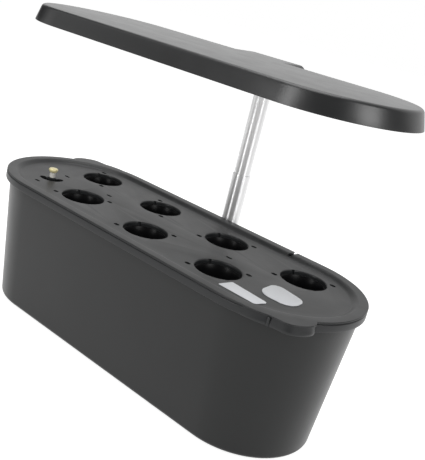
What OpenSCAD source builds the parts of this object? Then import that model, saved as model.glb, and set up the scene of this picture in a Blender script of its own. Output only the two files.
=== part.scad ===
// Countertop hydroponic garden: water tank, lift-off planting deck, telescopic post and light hood.
// Millimetres, +Z up, +X along the tank. The origin is on the table, under the middle of the whole.

/* [Deck] */
// Overall length of the planting deck
deck_l = 360; // [330:2:400]
// Overall width of the planting deck
deck_w = 140; // [134:1:160]
// Height of the deck's lip above the table
deck_z = 118.5; // [112:0.5:140]
// Wall of the deck moulding
deck_t = 2.2; // [1.8:0.1:2.6]
// Height of the skirt that hangs over the tank
skirt_h = 7.5; // [6:0.5:10]
// Width of the flat lip
lip_w = 7; // [6:0.5:8]
// Depth of the planting floor below the lip
floor_drop = 3; // [2.5:0.25:4]
// Run of the sloped wall from the lip to the floor
lip_run = 6; // [4:0.5:7]
// Reach of the two finger tabs beyond the rim
tab_reach = 10; // [5:0.5:12]

/* [Planting holes] */
// Spacing of the planting holes along the deck
hole_pitch = 39; // [38:0.5:44]
// Distance of each row of holes from the centreline
row_y = 29; // [28:0.5:31]
// Diameter of each opening in the deck
hole_d = 36.3; // [34:0.1:38]
// Diameter of the bore that holds a seed pod
pod_d = 31; // [28:0.5:31.5]
// Depth of each pod collar below the planting floor
collar_h = 22; // [18:1:26]
// Least distance from the last hole's centre to the deck's end
end_room = 60; // [54:1:64]

/* [Tank] */
// Lean of the tank's walls, in degrees
tank_lean = 5.5; // [4:0.25:6]
// Wall of the tank
tank_t = 2.4; // [2:0.1:3]
// Thickness of the tank's floor
tank_floor_t = 2.6; // [2:0.1:3.5]
// Height of the rubber feet below the tank
foot_h = 1.6; // [1.2:0.1:2.5]
// Diameter of the rubber feet
foot_d = 14; // [10:1:15]

/* [Post] */
// Outer diameter of the upper tube
upper_d = 14.6; // [13:0.1:15]
// Outer diameter of the lower tube
lower_d = 16.3; // [16:0.1:17]
// Wall of both tubes
tube_t = 0.6; // [0.5:0.05:0.65]
// Height of the lower tube's mouth above the table
lower_top = 159.5; // [150:0.5:170]
// Distance of the post behind the deck's rim
post_gap = 12; // [11.5:0.1:14]
// Travel of the light below its height in the photograph
travel_down = 55; // [40:1:60]

/* [Hood] */
// Overall length of the light hood
hood_l = 360; // [330:2:400]
// Width of the hood, without its rear block
hood_w = 135; // [130:1:150]
// Height of the hood's lower edge above the table
hood_z = 251.5; // [246:0.5:262]
// Height of the hood's side
hood_h = 14; // [13.5:0.5:18]
// Wall of the hood
hood_t = 2.2; // [1.8:0.1:2.4]
// Slope of the hood's side, drawn in at the top
hood_flare = 4; // [2:0.5:5]
// Width of the rear block that holds the post
block_w = 60; // [56:1:70]

/* [Rear housing] */
// Width of the housing behind the tank
housing_w = 62; // [58:1:70]
// Height of the housing's top above the table
housing_top = 107.5; // [100:0.5:108.5]
// Wall of the housing
housing_t = 2.2; // [1.8:0.1:2.6]

/* [Pump] */
// Diameter of the pump's barrel
pump_d = 28; // [27:0.5:30]
// Length of the pump's barrel
pump_l = 30; // [30:0.5:34]
// Height of the suction cups
cup_h = 4; // [3:0.25:6]

/* [Hidden] */
$fn = 96;

// Clearances and the overrun of every cut
over = 1;
run_gap = 0.05;
seat_gap = 0.3;
slip_gap = 0.2;
screw_gap = 0.1;
arc_steps = 6;

// Tank and deck, measured from the middle of the tank
deck_r = deck_w / 2;
deck_s = (deck_l - deck_w) / 2;
deck_edge_r = 1.2;
slope_x_share = 0.4;
slope_z_share = 0.25;
lip_in_r = deck_r - lip_w;
floor_r = lip_in_r - lip_run;
floor_z = deck_z - floor_drop;
under_z = floor_z - deck_t;
skirt_z = deck_z - skirt_h;
skirt_inset = 3.8;
tank_edge_r = 3.5;
tank_z = foot_h;
tank_top = deck_z - deck_t - seat_gap;
inner_z = tank_z + tank_floor_t;
function tank_r(z) = deck_r - skirt_inset - (skirt_z - z) * tan(tank_lean);

// Feet
foot_x_share = 0.2818;
foot_y_share = 0.4286;
foot_x = deck_s + foot_x_share * deck_s;
foot_y = foot_y_share * deck_r;
foot_seat = 0.8;

// Post and rear housing
post_y = deck_r + post_gap;
lower_r = lower_d / 2;
upper_r = upper_d / 2;
socket_wall = 2.2;
socket_r = lower_r + run_gap + socket_wall;
rear_wall_share = 0.6;
rear_y = post_y + socket_r + rear_wall_share * housing_t;
housing_edge_r = 5;
housing_corner_r = 6;
cover_t = 2;
socket_floor_t = 2;
tube_z = tank_z + cover_t + seat_gap + socket_floor_t;
wire_r = 4;

// Screws, by size: shaft radius, head radius and head height
screw_r = 1.4;
screw_head_r = 2.8;
screw_head_h = 1.8;
boss_wall = 2.1;
boss_r = screw_r + screw_gap + boss_wall;
small_screw_r = 1;
small_head_r = 2;
small_head_h = 1.2;
small_boss_r = 2.8;
slot_share = 0.5;

// The whole object's middle, front to back, is the origin: the rear screws' heads are its rearmost points
rear_extent = rear_y + screw_head_h;
tank_y = (deck_r - rear_extent) / 2;

// Rear housing screws: places as shares of the housing's half width and height
housing_screw_x_share = 0.66;
housing_screw_z_shares = [0.42, 0.88];
housing_screw_x = housing_screw_x_share * housing_w / 2;
cover_block = 7;
cover_block_h = 9;

// Power parts
jack_x_share = -0.66;
jack_z_share = 0.21;
jack_w = 9;
jack_h = 11;
jack_l = 13;
jack_bore_r = 2.8;
jack_pin_r = 1.05;
jack_depth_share = 0.75;
jack_depth = jack_depth_share * jack_l;
jack_x = jack_x_share * housing_w / 2;
jack_z = jack_z_share * housing_top;
power_x_share = 0.62;
power_w = 15;
power_h = 37;
board_t = 1.6;
power_x = power_x_share * housing_w / 2;
power_gap = 1;
power_z = housing_screw_z_shares[0] * housing_top + boss_r + power_gap;
chip_h = 2.4;
chip_l = 4.6;
power_chip_shares = [0.18, 0.5, 0.8];
power_boss_shares = [0.25, 0.75];

// Tubes
neck_h = 3;
lower_bore_r = lower_r - tube_t;
neck_bore_r = upper_r + run_gap;
stop_h = 12;
stop_gap = 1;
bush_flange_h = 8;
bush_spigot_h = 8;
bush_r = lower_bore_r - run_gap;
bush_z = tube_z + stop_h + stop_gap + travel_down;
tube_inner_r = upper_r - tube_t;
tube_rim_r = 0.3;

// Hood
hood_r = hood_w / 2;
hood_s = (hood_l - hood_w) / 2;
hood_edge_r = 3.2;
hood_top = hood_z + hood_h;
hood_in_z = hood_top - hood_t;
hood_lean = atan(hood_flare / hood_h);
function hood_wall_r(z) = hood_r - hood_flare * (z - hood_z) / hood_h;
block_corner_r = 4;
cover_plate_t = 2;
cover_up = 0.6;
hood_cover_z = hood_z + cover_up;
window_w_share = 0.71;
window_r = window_w_share * hood_r;
diffuser_lap = 4;
diffuser_t = 2;
board_w_share = 0.64;
board_r = board_w_share * hood_r;
board_screw_x_shares = [-0.75, -0.25, 0.25, 0.75];
board_boss_h = 2.5;
board_pilot = 0.7;
led_board_z = hood_in_z - board_boss_h - board_t;
led_w = 3.5;
led_d = 2.8;
led_h = 0.8;
led_columns = 12;
led_row_share = 0.45;
led_pitch = 2 * hood_s / led_columns;
block_edge_r = 5;
block_lean = 0.4;
socket_l = 9;
cap_t = 1.5;
cap_lip = 1.3;
cap_r = upper_r + cap_lip;
spigot_h = 8;
bracket_h = 4.2;
bracket_wall = 1.4;
bracket_r = upper_r + run_gap + bracket_wall;
bracket_z = hood_cover_z + cover_plate_t + slip_gap;
bracket_top = bracket_z + bracket_h;
tube_top = bracket_top + seat_gap;
thrust_z = tube_top + cap_t + seat_gap;
ear_reach = 8;
ear_x = bracket_r + ear_reach;
ear_r = 4.5;
cover_post_x_shares = [-1, 0, 1];
cover_post_inset = 1.3;
cover_post_r = hood_r - hood_t - boss_r - cover_post_inset;
cover_r = hood_wall_r(hood_cover_z + cover_plate_t) - hood_t - seat_gap;

// Planting holes: odd holes stand in the rear row, even ones in the front row
hole_steps = floor((deck_l / 2 - end_room) / hole_pitch);
holes = 2 * hole_steps + 1;
function hole_x(i) = (i - (holes - 1) / 2) * hole_pitch;
function hole_y(i) = (i % 2 == 0 ? 1 : -1) * row_y;
hole_r = hole_d / 2;
pod_r = pod_d / 2;
hole_wall = 2;
ledge_w = 1.3;
ledge_r = hole_r - ledge_w;
collar_drop = 3;
collar_flange_h = 4.8;
collar_top_z = floor_z - collar_drop;
seat_z = collar_top_z - collar_flange_h;
collar_z = floor_z - collar_h;
collar_mouth = 1.6;
lug_w = 2.6;
lug_reach = 1.2;
lug_angles = [150, 330];
slot_far = 23.4;
slot_reach = slot_far / sqrt(2);
slot_l = 5;
slot_w = 2.6;
thin_slot_l = 6;
thin_slot_w = 1.5;
thin_slot_x_shares = [-0.69, 0.59];
// Each hole's pair of drain slots lies on one diagonal: 1 rises to the right, -1 falls
slot_side = [-1, 1, -1, 1, 1, 1, 1];
notch_x_share = 0.745;
notch_w = 3.4;
notch_h = 2.2;

// Finger tab: angle from its peak as a share of the span, and reach as a share of the full reach
tab_angle = -47;
tab_span = 30;
tab_shares = [[-1, -0.08], [-0.75, 0.14], [-0.55, 0.26], [-0.4, 0.33], [-0.33, 0.37], [-0.2, 0.63],
              [-0.1, 0.87], [0, 1], [0.1, 0.99], [0.2, 0.93], [0.3, 0.81], [0.4, 0.62],
              [0.48, 0.34], [0.55, -0.08]];
tab_rib_r = 0.9;
tab_root_share = 0.7;
tab_root = tab_root_share * deck_t;
tab_rib_share = -0.46;
tab_rib_reach_share = 0.28;

// Water gauge: its centre, from the middle of the tank
gauge_x_share = 1.1545;
gauge_y_share = -0.35;
gauge_x = -gauge_x_share * deck_s;
gauge_y = gauge_y_share * deck_r;
fill_in_r = 5;
fill_out_r = 10.3;
fill_start = -120;
fill_sweep = 150;
stem_r = 2.5;
stem_boss_t = 1.7;
stem_boss_up = 0.8;
stem_boss_h = 3.5;
float_travel = 22;
float_r = 11.5;
float_h = 10;
float_edge_r = 2;
cage_gap = 0.5;
cage_t = 1.8;
cage_floor_t = 1.2;
cage_in_r = float_r + cage_gap;
float_top = under_z - stem_boss_h - seat_gap - float_travel;
float_z = float_top - float_h;
cage_z = float_z - seat_gap - cage_floor_t;
cage_windows = 6;
cage_window_w = 6;
gauge_show = 9;
gauge_cap_r = 4.1;
gauge_cap_h = 4;
cap_foot_in = 0.8;
cap_foot_h = 1.2;
cap_dome_r = 1.6;
stem_top = floor_z + gauge_show - gauge_cap_h / 2;
stem_sink_share = 0.333;
stem_z = float_z + stem_sink_share * float_h;
gauge_slots_share = [[0.06, -0.28], [-0.02, 0.27]];

// Bare front plate: four rounded corners, as shares of its length from its left lower corner
plate_l = 36;
plate_x_share = 0.877;
plate_y_share = -0.745;
plate_x = plate_x_share * deck_s;
plate_y = plate_y_share * deck_r;
plate_t = 0.4;
plate_shares = [[0.03, 0.03, 0.02], [0.09, 0.36, 0.03], [0.94, 0.26, 0.06], [0.86, 0.09, 0.09]];

// Control overlay: corner circles [x, y, radius] as shares of its length, from its middle
overlay_l = 31;
overlay_t = 0.5;
overlay_x_share = 1.178;
overlay_y_share = -0.257;
overlay_x = overlay_x_share * deck_s;
overlay_y = overlay_y_share * deck_r;
overlay_shares = [[-0.29, 0.21, 0.21], [-0.097, -0.048, 0.377], [0.161, -0.081, 0.329],
                  [0.194, 0.048, 0.281]];
key_r = 1.75;
key_spread_share = 0.21;
key_turn = -20;
key_travel = 0.25;
key_gap = 0.05;
box_s = 5;
box_r = 14.5;
box_wall = 2;
box_h = 14;
box_z = under_z - box_h;
box_in_z = box_z + box_wall;
box_board_up = 2;
box_board_z = box_in_z + box_board_up;
switch_w = 6;
switch_h = 3.6;
switch_z = box_board_z + board_t;
switch_bore = 2.1;
switch_floor_z = switch_z + switch_h - switch_bore;
box_boss_x = 22.6;
box_boss_h = 6.8;
box_ear_t = 3;

// Pump, lying along X on the tank's floor with its mouth to the middle of the tank
pump_r = pump_d / 2;
pump_x_share = 1.14;
pump_x = pump_x_share * deck_s;
pump_z = inner_z + cup_h + pump_r;
pump_foot_w = 24;
chamber_r = 10.5;
chamber_l = 10;
well_r = 6.6;
well_l = 14;
shaft_r = 1.2;
shaft_seat = 2.5;
coil_in_r = 8;
coil_out_r = 11.6;
coil_l = 13;
coil_gap = 0.2;
end_cap_t = 2;
pump_cover_t = 2.5;
hub_r = 3;
hub_bore_r = shaft_r + run_gap;
blade_count = 6;
blade_r = 9.4;
blade_t = 1.2;
blade_h = 5;
magnet_gap = 0.6;
magnet_r = well_r - magnet_gap;
spout_r = 5;
spout_bore_r = 3.2;
spout_h = 20;
spout_seat = 3;
spout_boss_t = 1.5;
spout_x = pump_x - pump_l / 2 + spout_r + spout_boss_t;
filter_t = 6;
filter_cap_t = 2;
filter_gap = 0.2;
cup_r = 6;
cup_neck_r = 1.6;
cup_neck_h = 2.5;
cup_x_share = 0.3;
cup_y = 7;
inlet_count = 3;
inlet_in_r = 4;
inlet_out_r = 8;
inlet_open_share = 0.7;
grille_slots = 5;
grille_w = 1.8;
grille_pitch = 4;

// Points along a quarter or other arc
function arc(cx, cy, r, a0, a1, n = arc_steps) =
    [for (i = [0:n]) let (a = a0 + (a1 - a0) * i / n) [cx + r * cos(a), cy + r * sin(a)]];

// Moves a piece from the tank's middle to its place from the origin
module at_tank() translate([0, tank_y, 0]) children();

// Sweeps a profile of radius and height round a long oval of the given half length
module around(s) {
    for (side = [-1, 1])
        translate([side * s, 0, 0]) rotate([0, 0, -side * 90])
            rotate_extrude(angle = 180) children();
    for (side = [0, 1])
        mirror([0, side, 0]) translate([-s, 0, 0]) rotate([90, 0, 90])
            linear_extrude(height = 2 * s) children();
}

// A long oval plate, standing on z
module oval_plate(s, r, z, h) around(s) translate([0, z]) square([r, h]);

// A through slot with round ends, along X
module slot_cut(l, w, z, h) {
    translate([-(l - w) / 2, -w / 2, z]) cube([l - w, w, h]);
    for (side = [-1, 1]) translate([side * (l - w) / 2, 0, z]) cylinder(r = w / 2, h = h, $fn = 32);
}

// A pan-head screw: the shaft points up from the head
module screw(r, l, head_r, head_h) {
    difference() {
        union() {
            translate([0, 0, -head_h]) cylinder(r = head_r, h = head_h, $fn = 32);
            cylinder(r = r, h = l, $fn = 32);
        }
        for (a = [0, 90])
            rotate([0, 0, a]) translate([-head_r * slot_share, -r * slot_share / 2, -head_h - over])
                cube([2 * head_r * slot_share, r * slot_share, over + head_h * slot_share]);
    }
}

module tube(r, bore, z, h) {
    difference() {
        translate([0, 0, z]) cylinder(r = r, h = h);
        translate([0, 0, z - over]) cylinder(r = bore, h = h + 2 * over);
    }
}

// Tank

// Section of the tank from its axis to a wall that lies a given depth inside the outside
module tank_section(inset, z0, z1, edge_r) {
    r0 = tank_r(z0 + edge_r) - inset - edge_r;
    polygon(concat([[0, z0]], arc(r0, z0 + edge_r, edge_r, -90, 0), [[tank_r(z1) - inset, z1], [0, z1]]));
}

module housing_boss_places() {
    for (side = [-1, 1], share = housing_screw_z_shares)
        translate([side * housing_screw_x, 0, share * housing_top]) children();
}

module tank_shell() {
    color("#3b3d3f") at_tank() difference() {
        union() {
            around(deck_s) tank_section(0, tank_z, tank_top, tank_edge_r);
            housing_boss_places()
                translate([0, tank_r(0), 0]) rotate([-90, 0, 0])
                    cylinder(r = boss_r, h = rear_y - housing_t - seat_gap - tank_r(0), $fn = 48);
        }
        around(deck_s) tank_section(tank_t, inner_z, tank_top + over, tank_edge_r);
        for (sx = [-1, 1], sy = [-1, 1])
            translate([sx * foot_x, sy * foot_y, tank_z - over])
                cylinder(r = foot_d / 2 + slip_gap, h = foot_seat + over);
        housing_boss_places()
            translate([0, tank_r(housing_top), 0]) rotate([-90, 0, 0])
                cylinder(r = screw_r + screw_gap, h = rear_y, $fn = 32);
    }
}

module rubber_feet() {
    color("#262626") at_tank() for (sx = [-1, 1], sy = [-1, 1])
        translate([sx * foot_x, sy * foot_y, 0]) rotate_extrude()
            polygon(concat([[0, 0]], arc(foot_d / 2 - foot_h / 2, foot_h / 2, foot_h / 2, -90, 0, 4),
                           [[foot_d / 2, foot_h + foot_seat], [0, foot_h + foot_seat]]));
}

// Rear housing

// Side section of the housing, from its rear face to a front edge along the leaning tank
module housing_side(inset, z0, z1, front_gap) {
    polygon(concat([[tank_r(z0) + front_gap, z0], [rear_y - inset, z0]],
                   arc(rear_y - housing_edge_r, z1 - housing_edge_r + inset, housing_edge_r - inset, 0, 90),
                   [[tank_r(z1) + front_gap, z1]]));
}

// Plan of the housing: a block with two round rear corners
module housing_plan(inset, z0, h) {
    w = housing_w / 2 - inset;
    c = housing_corner_r - inset;
    translate([-w, 0, z0]) cube([2 * w, rear_y - inset - c, h]);
    translate([-w + c, 0, z0]) cube([2 * (w - c), rear_y - inset, h]);
    for (side = [-1, 1]) translate([side * (w - c), rear_y - inset - c, z0]) cylinder(r = c, h = h);
}

module housing_block(inset, z0, z1, front_gap) {
    intersection() {
        rotate([90, 0, 90]) translate([0, 0, -housing_w])
            linear_extrude(height = 2 * housing_w) housing_side(inset, z0, z1, front_gap);
        housing_plan(inset, z0 - over, z1 - z0 + 2 * over);
    }
}

module cover_screw_places() {
    for (side = [-1, 1])
        translate([side * (housing_w / 2 - housing_t - cover_block / 2), post_y, 0]) children();
}

module rear_housing() {
    color("#35373a") at_tank() difference() {
        union() {
            difference() {
                housing_block(0, tank_z, housing_top, seat_gap);
                housing_block(housing_t, tank_z - over, housing_top - housing_t, -over);
            }
            intersection() {
                housing_block(0, tank_z, housing_top, seat_gap);
                translate([0, post_y, tube_z - socket_floor_t])
                    cylinder(r = socket_r, h = housing_top - tube_z + socket_floor_t);
            }
            cover_screw_places() translate([-cover_block / 2, -cover_block / 2, tank_z + cover_t + seat_gap])
                cube([cover_block, cover_block, cover_block_h]);
            translate([power_x, post_y, 0]) for (share = power_boss_shares)
                translate([0, 0, power_z + share * power_h]) rotate([0, 90, 0])
                    cylinder(r = small_boss_r, h = housing_w / 2 - housing_t / 2 - power_x, $fn = 32);
        }
        translate([0, post_y, tube_z]) cylinder(r = lower_r + run_gap, h = housing_top);
        translate([0, post_y, 0]) cylinder(r = wire_r, h = housing_top);
        cover_screw_places()
            cylinder(r = screw_r + screw_gap, h = tank_z + cover_t + cover_block_h, $fn = 32);
        housing_boss_places() translate([0, rear_y - housing_t - over, 0]) rotate([-90, 0, 0])
            cylinder(r = screw_r + slip_gap, h = housing_t + 2 * over, $fn = 32);
        translate([jack_x - jack_w / 2 - slip_gap, rear_y - housing_t - over, jack_z - jack_h / 2 - slip_gap])
            cube([jack_w + 2 * slip_gap, housing_t + 2 * over, jack_h + 2 * slip_gap]);
    }
}

module rear_cover() {
    color("#2f3133") at_tank() difference() {
        intersection() {
            housing_plan(housing_t + slip_gap, tank_z, cover_t);
            translate([-housing_w, tank_r(tank_z + cover_t) + seat_gap, tank_z])
                cube([2 * housing_w, rear_y, cover_t]);
        }
        translate([0, 0, -over]) cover_screw_places()
            cylinder(r = screw_r + slip_gap, h = tank_z + cover_t + 2 * over, $fn = 32);
        translate([0, 0, tank_z - over]) cover_screw_places()
            cylinder(r = screw_head_r + slip_gap, h = over + cover_t / 2, $fn = 32);
    }
}

module cover_screws() {
    color("#8c8f93") at_tank() translate([0, 0, tank_z + cover_t / 2]) cover_screw_places()
        screw(screw_r, cover_block_h - slip_gap, screw_head_r, cover_t / 2);
}

module housing_screws() {
    color("#8c8f93") at_tank() housing_boss_places() translate([0, rear_y, 0])
        rotate([90, 0, 0]) screw(screw_r, cover_block_h, screw_head_r, screw_head_h);
}

module dc_jack() {
    color("#1e1f20") at_tank() translate([jack_x, rear_y, jack_z]) rotate([90, 0, 0]) difference() {
        translate([-jack_w / 2, -jack_h / 2, 0]) cube([jack_w, jack_h, jack_l]);
        difference() {
            translate([0, 0, -over]) cylinder(r = jack_bore_r, h = over + jack_depth, $fn = 48);
            cylinder(r = jack_pin_r, h = jack_l, $fn = 32);
        }
    }
}

module power_board() {
    color("#2f6b3c") at_tank() {
        translate([power_x - board_t, post_y - power_w / 2, power_z]) cube([board_t, power_w, power_h]);
        for (share = power_chip_shares)
            translate([power_x - board_t - chip_h, post_y - power_w / 4, power_z + share * power_h])
                cube([chip_h, power_w / 2, chip_l]);
    }
}

// Post

module lower_tube() {
    color("#d9dadb") at_tank() translate([0, post_y, 0]) difference() {
        rotate_extrude() polygon(concat(
            [[lower_bore_r, tube_z], [lower_r, tube_z], [lower_r, lower_top - tube_rim_r]],
            arc(lower_r - tube_rim_r, lower_top - tube_rim_r, tube_rim_r, 0, 90, 4),
            [[neck_bore_r, lower_top], [neck_bore_r, lower_top - neck_h],
             [lower_bore_r, lower_top - neck_h - tube_t]]));
    }
}

module tube_stop() {
    color("#2b2b2b") at_tank() translate([0, post_y, 0])
        tube(lower_bore_r - slip_gap, wire_r, tube_z, stop_h);
}

module upper_tube() {
    color("#dcdddf") at_tank() translate([0, post_y, 0])
        tube(upper_r, tube_inner_r, bush_z + bush_flange_h, tube_top - bush_z - bush_flange_h);
}

module slider_bush() {
    color("#e8e6df") at_tank() translate([0, post_y, 0]) difference() {
        union() {
            translate([0, 0, bush_z]) cylinder(r = bush_r, h = bush_flange_h);
            translate([0, 0, bush_z]) cylinder(r = tube_inner_r - run_gap, h = bush_flange_h + bush_spigot_h);
        }
        translate([0, 0, bush_z - over])
            cylinder(r = wire_r, h = bush_flange_h + bush_spigot_h + 2 * over);
    }
}

module swivel_cap() {
    color("#b9bcc0") at_tank() translate([0, post_y, 0]) difference() {
        union() {
            translate([0, 0, tube_top]) cylinder(r = cap_r, h = cap_t);
            translate([0, 0, tube_top - spigot_h]) cylinder(r = tube_inner_r - run_gap, h = spigot_h + cap_t);
        }
        translate([0, 0, tube_top - spigot_h - over]) cylinder(r = wire_r, h = spigot_h + cap_t + 2 * over);
    }
}

// Hood

// Section of the hood from its axis to its flared side, a given depth inside the outside
module hood_section(inset, z0, z1) {
    e = hood_edge_r - inset;
    top_r = hood_wall_r(z1 - e) - inset - e / cos(hood_lean);
    polygon(concat([[0, z0], [hood_wall_r(z0) - inset, z0]],
                   arc(top_r, z1 - e, e, hood_lean, 90), [[0, z1]]));
}

// Height section of the rear block, through an outer face that leans in and then rounds over
module block_side(inset, z0, z1, face, lean, edge_r) {
    e = edge_r - inset;
    polygon(concat([[0, z0], [face - inset, z0]], arc(face - lean - inset - e, z1 - e, e, 0, 90), [[0, z1]]));
}

module block_plan(inset, z0, h) {
    w = block_w / 2 - inset;
    c = block_corner_r - inset;
    translate([-w, 0, z0]) cube([2 * w, rear_y - inset - c, h]);
    translate([-w + c, 0, z0]) cube([2 * (w - c), rear_y - inset, h]);
    for (side = [-1, 1]) translate([side * (w - c), rear_y - inset - c, z0]) cylinder(r = c, h = h, $fn = 48);
}

module rear_block(inset, z0, z1) {
    intersection() {
        rotate([90, 0, 90]) translate([0, 0, -block_w])
            linear_extrude(height = 2 * block_w) block_side(inset, z0, z1, rear_y, block_lean, block_edge_r);
        union() for (side = [0, 1])
            mirror([side, 0, 0]) translate([0, rear_y + over, 0]) rotate([90, 0, 0])
                linear_extrude(height = rear_y + over)
                    block_side(inset, z0, z1, block_w / 2, hood_flare / 2, hood_edge_r);
        block_plan(inset, z0 - over, z1 - z0 + 2 * over);
    }
}

module cover_post_places() {
    for (side = [-1, 1], share = cover_post_x_shares)
        translate([share * hood_s, side * cover_post_r, 0]) children();
    for (side = [-1, 1]) translate([side * (hood_s + cover_post_r), 0, 0]) children();
}

module board_screw_places() {
    for (share = board_screw_x_shares) translate([share * hood_s, 0, 0]) children();
}

module pivot_screw_places() {
    for (side = [-1, 1]) translate([side * ear_x, post_y, 0]) children();
}

module hood_shell() {
    color("#4a4c4f") at_tank() difference() {
        union() {
            difference() {
                union() {
                    around(hood_s) hood_section(0, hood_z, hood_top);
                    rear_block(0, hood_z, hood_top);
                }
                around(hood_s) hood_section(hood_t, hood_z - over, hood_in_z);
                rear_block(hood_t, hood_z - over, hood_in_z);
            }
            intersection() {
                around(hood_s) hood_section(0, hood_z, hood_top);
                cover_post_places() translate([0, 0, hood_cover_z + cover_plate_t])
                    cylinder(r = boss_r, h = hood_in_z - hood_cover_z - cover_plate_t + hood_t / 2, $fn = 48);
            }
            board_screw_places() translate([0, 0, hood_in_z - board_boss_h])
                cylinder(r = small_boss_r, h = board_boss_h + hood_t / 2, $fn = 48);
            pivot_screw_places() translate([0, 0, bracket_top])
                cylinder(r = boss_r, h = hood_in_z - bracket_top + hood_t / 2, $fn = 48);
            translate([0, post_y, 0])
                tube(cap_r - seat_gap, wire_r, thrust_z, hood_in_z - thrust_z + hood_t / 2);
        }
        cover_post_places() translate([0, 0, hood_cover_z])
            cylinder(r = screw_r + screw_gap, h = hood_h - cover_up - hood_t, $fn = 32);
        board_screw_places() translate([0, 0, hood_in_z - board_boss_h - over])
            cylinder(r = small_screw_r + screw_gap, h = over + board_boss_h + board_pilot, $fn = 32);
        pivot_screw_places() translate([0, 0, bracket_top - over])
            cylinder(r = screw_r + screw_gap, h = over + hood_in_z - bracket_top + hood_t / 2, $fn = 32);
    }
}

module pivot_bracket() {
    color("#2f3133") at_tank() difference() {
        union() {
            translate([0, post_y, bracket_z]) cylinder(r = bracket_r, h = bracket_h);
            translate([-ear_x, post_y - ear_r, bracket_z]) cube([2 * ear_x, 2 * ear_r, bracket_h]);
            pivot_screw_places() translate([0, 0, bracket_z]) cylinder(r = ear_r, h = bracket_h, $fn = 48);
        }
        translate([0, post_y, bracket_z - over]) cylinder(r = upper_r + run_gap, h = bracket_h + 2 * over);
        pivot_screw_places() translate([0, 0, bracket_z - over]) {
            cylinder(r = screw_r + slip_gap, h = bracket_h + 2 * over, $fn = 32);
            cylinder(r = screw_head_r + slip_gap, h = over + screw_head_h, $fn = 32);
        }
    }
}

module pivot_screws() {
    color("#8c8f93") at_tank() pivot_screw_places() translate([0, 0, bracket_z + screw_head_h])
        screw(screw_r, hood_in_z - bracket_z - screw_head_h, screw_head_r, screw_head_h);
}

module hood_cover() {
    color("#d8dadb") at_tank() difference() {
        union() {
            oval_plate(hood_s, cover_r, hood_cover_z, cover_plate_t);
            intersection() {
                rear_block(hood_t + seat_gap, hood_cover_z, hood_top);
                translate([-block_w, 0, hood_cover_z]) cube([2 * block_w, rear_y, cover_plate_t]);
            }
        }
        oval_plate(hood_s, window_r, hood_cover_z - over, cover_plate_t + 2 * over);
        translate([0, post_y, hood_cover_z - over])
            cylinder(r = upper_r + seat_gap, h = cover_plate_t + 2 * over);
        translate([0, 0, hood_cover_z - over]) cover_post_places()
            cylinder(r = screw_r + slip_gap, h = cover_plate_t + 2 * over, $fn = 32);
    }
}

module hood_cover_screws() {
    color("#8c8f93") at_tank() translate([0, 0, hood_cover_z]) cover_post_places()
        screw(screw_r, hood_in_z - hood_cover_z - cover_plate_t, screw_head_r, small_head_h);
}

module light_diffuser() {
    color("#f2f2ee") at_tank()
        oval_plate(hood_s, window_r + diffuser_lap, hood_cover_z + cover_plate_t, diffuser_t);
}

module led_board() {
    color("#e9eaea") at_tank() difference() {
        oval_plate(hood_s, board_r, led_board_z, board_t);
        translate([0, 0, led_board_z - over]) board_screw_places()
            cylinder(r = small_screw_r + slip_gap, h = board_t + 2 * over, $fn = 32);
    }
}

module led_chips() {
    color("#f4e7a8") at_tank() for (row = [-1, 1], i = [0:led_columns - 1])
        translate([(i - (led_columns - 1) / 2) * led_pitch - led_w / 2,
                   row * led_row_share * board_r - led_d / 2, led_board_z - led_h])
            cube([led_w, led_d, led_h]);
}

module board_screws() {
    color("#8c8f93") at_tank() translate([0, 0, led_board_z]) board_screw_places()
        screw(small_screw_r, board_t + board_boss_h, small_head_r, small_head_h);
}

module light_socket() {
    color("#f0efe9") at_tank() translate([-socket_l / 2, board_r - socket_l, led_board_z + board_t])
        cube([socket_l, socket_l / 2, board_boss_h - seat_gap]);
}

// Deck

// Section of the deck from its axis, over the floor, slope and lip, to the skirt
module deck_section() {
    e = deck_edge_r;
    in_r = deck_r - deck_t;
    polygon(concat(
        [[0, floor_z], [floor_r, floor_z],
         [floor_r + slope_x_share * lip_run, floor_z + slope_z_share * floor_drop],
         [lip_in_r - e, deck_z - e / 2], [lip_in_r, deck_z]],
        arc(deck_r - e, deck_z - e, e, 90, 0),
        [[deck_r, skirt_z], [in_r, skirt_z], [in_r, deck_z - deck_t], [lip_in_r, deck_z - deck_t],
         [floor_r, under_z], [0, under_z]]));
}

// Plan of a finger tab, round the end centre, drawn in by an inset
module tab_plan(inset) {
    polygon(concat(
        [for (p = tab_shares) let (a = tab_angle + p[0] * tab_span, r = deck_r - inset + p[1] * tab_reach)
            [r * cos(a), r * sin(a)]],
        [for (i = [len(tab_shares) - 1:-1:0]) let (a = tab_angle + tab_shares[i][0] * tab_span)
            [(deck_r - tab_root) * cos(a), (deck_r - tab_root) * sin(a)]]));
}

module tab_places() for (a = [0, 180]) rotate([0, 0, a]) translate([deck_s, 0, 0]) children();

module tabs() {
    tab_places() {
        difference() {
            translate([0, 0, skirt_z]) linear_extrude(height = skirt_h) tab_plan(0);
            translate([0, 0, skirt_z - over]) linear_extrude(height = skirt_h - deck_t + over)
                intersection() {
                    tab_plan(deck_t);
                    difference() {
                        circle(r = deck_r + tab_reach);
                        circle(r = deck_r - deck_t / 2);
                    }
                }
        }
        rotate([0, 0, tab_angle + tab_rib_share * tab_span])
            translate([deck_r + tab_rib_reach_share * tab_reach, 0, skirt_z])
                cylinder(r = tab_rib_r, h = skirt_h - deck_edge_r, $fn = 32);
    }
}

module hole_places() for (i = [0:holes - 1]) translate([hole_x(i), hole_y(i), 0]) children();

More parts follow.
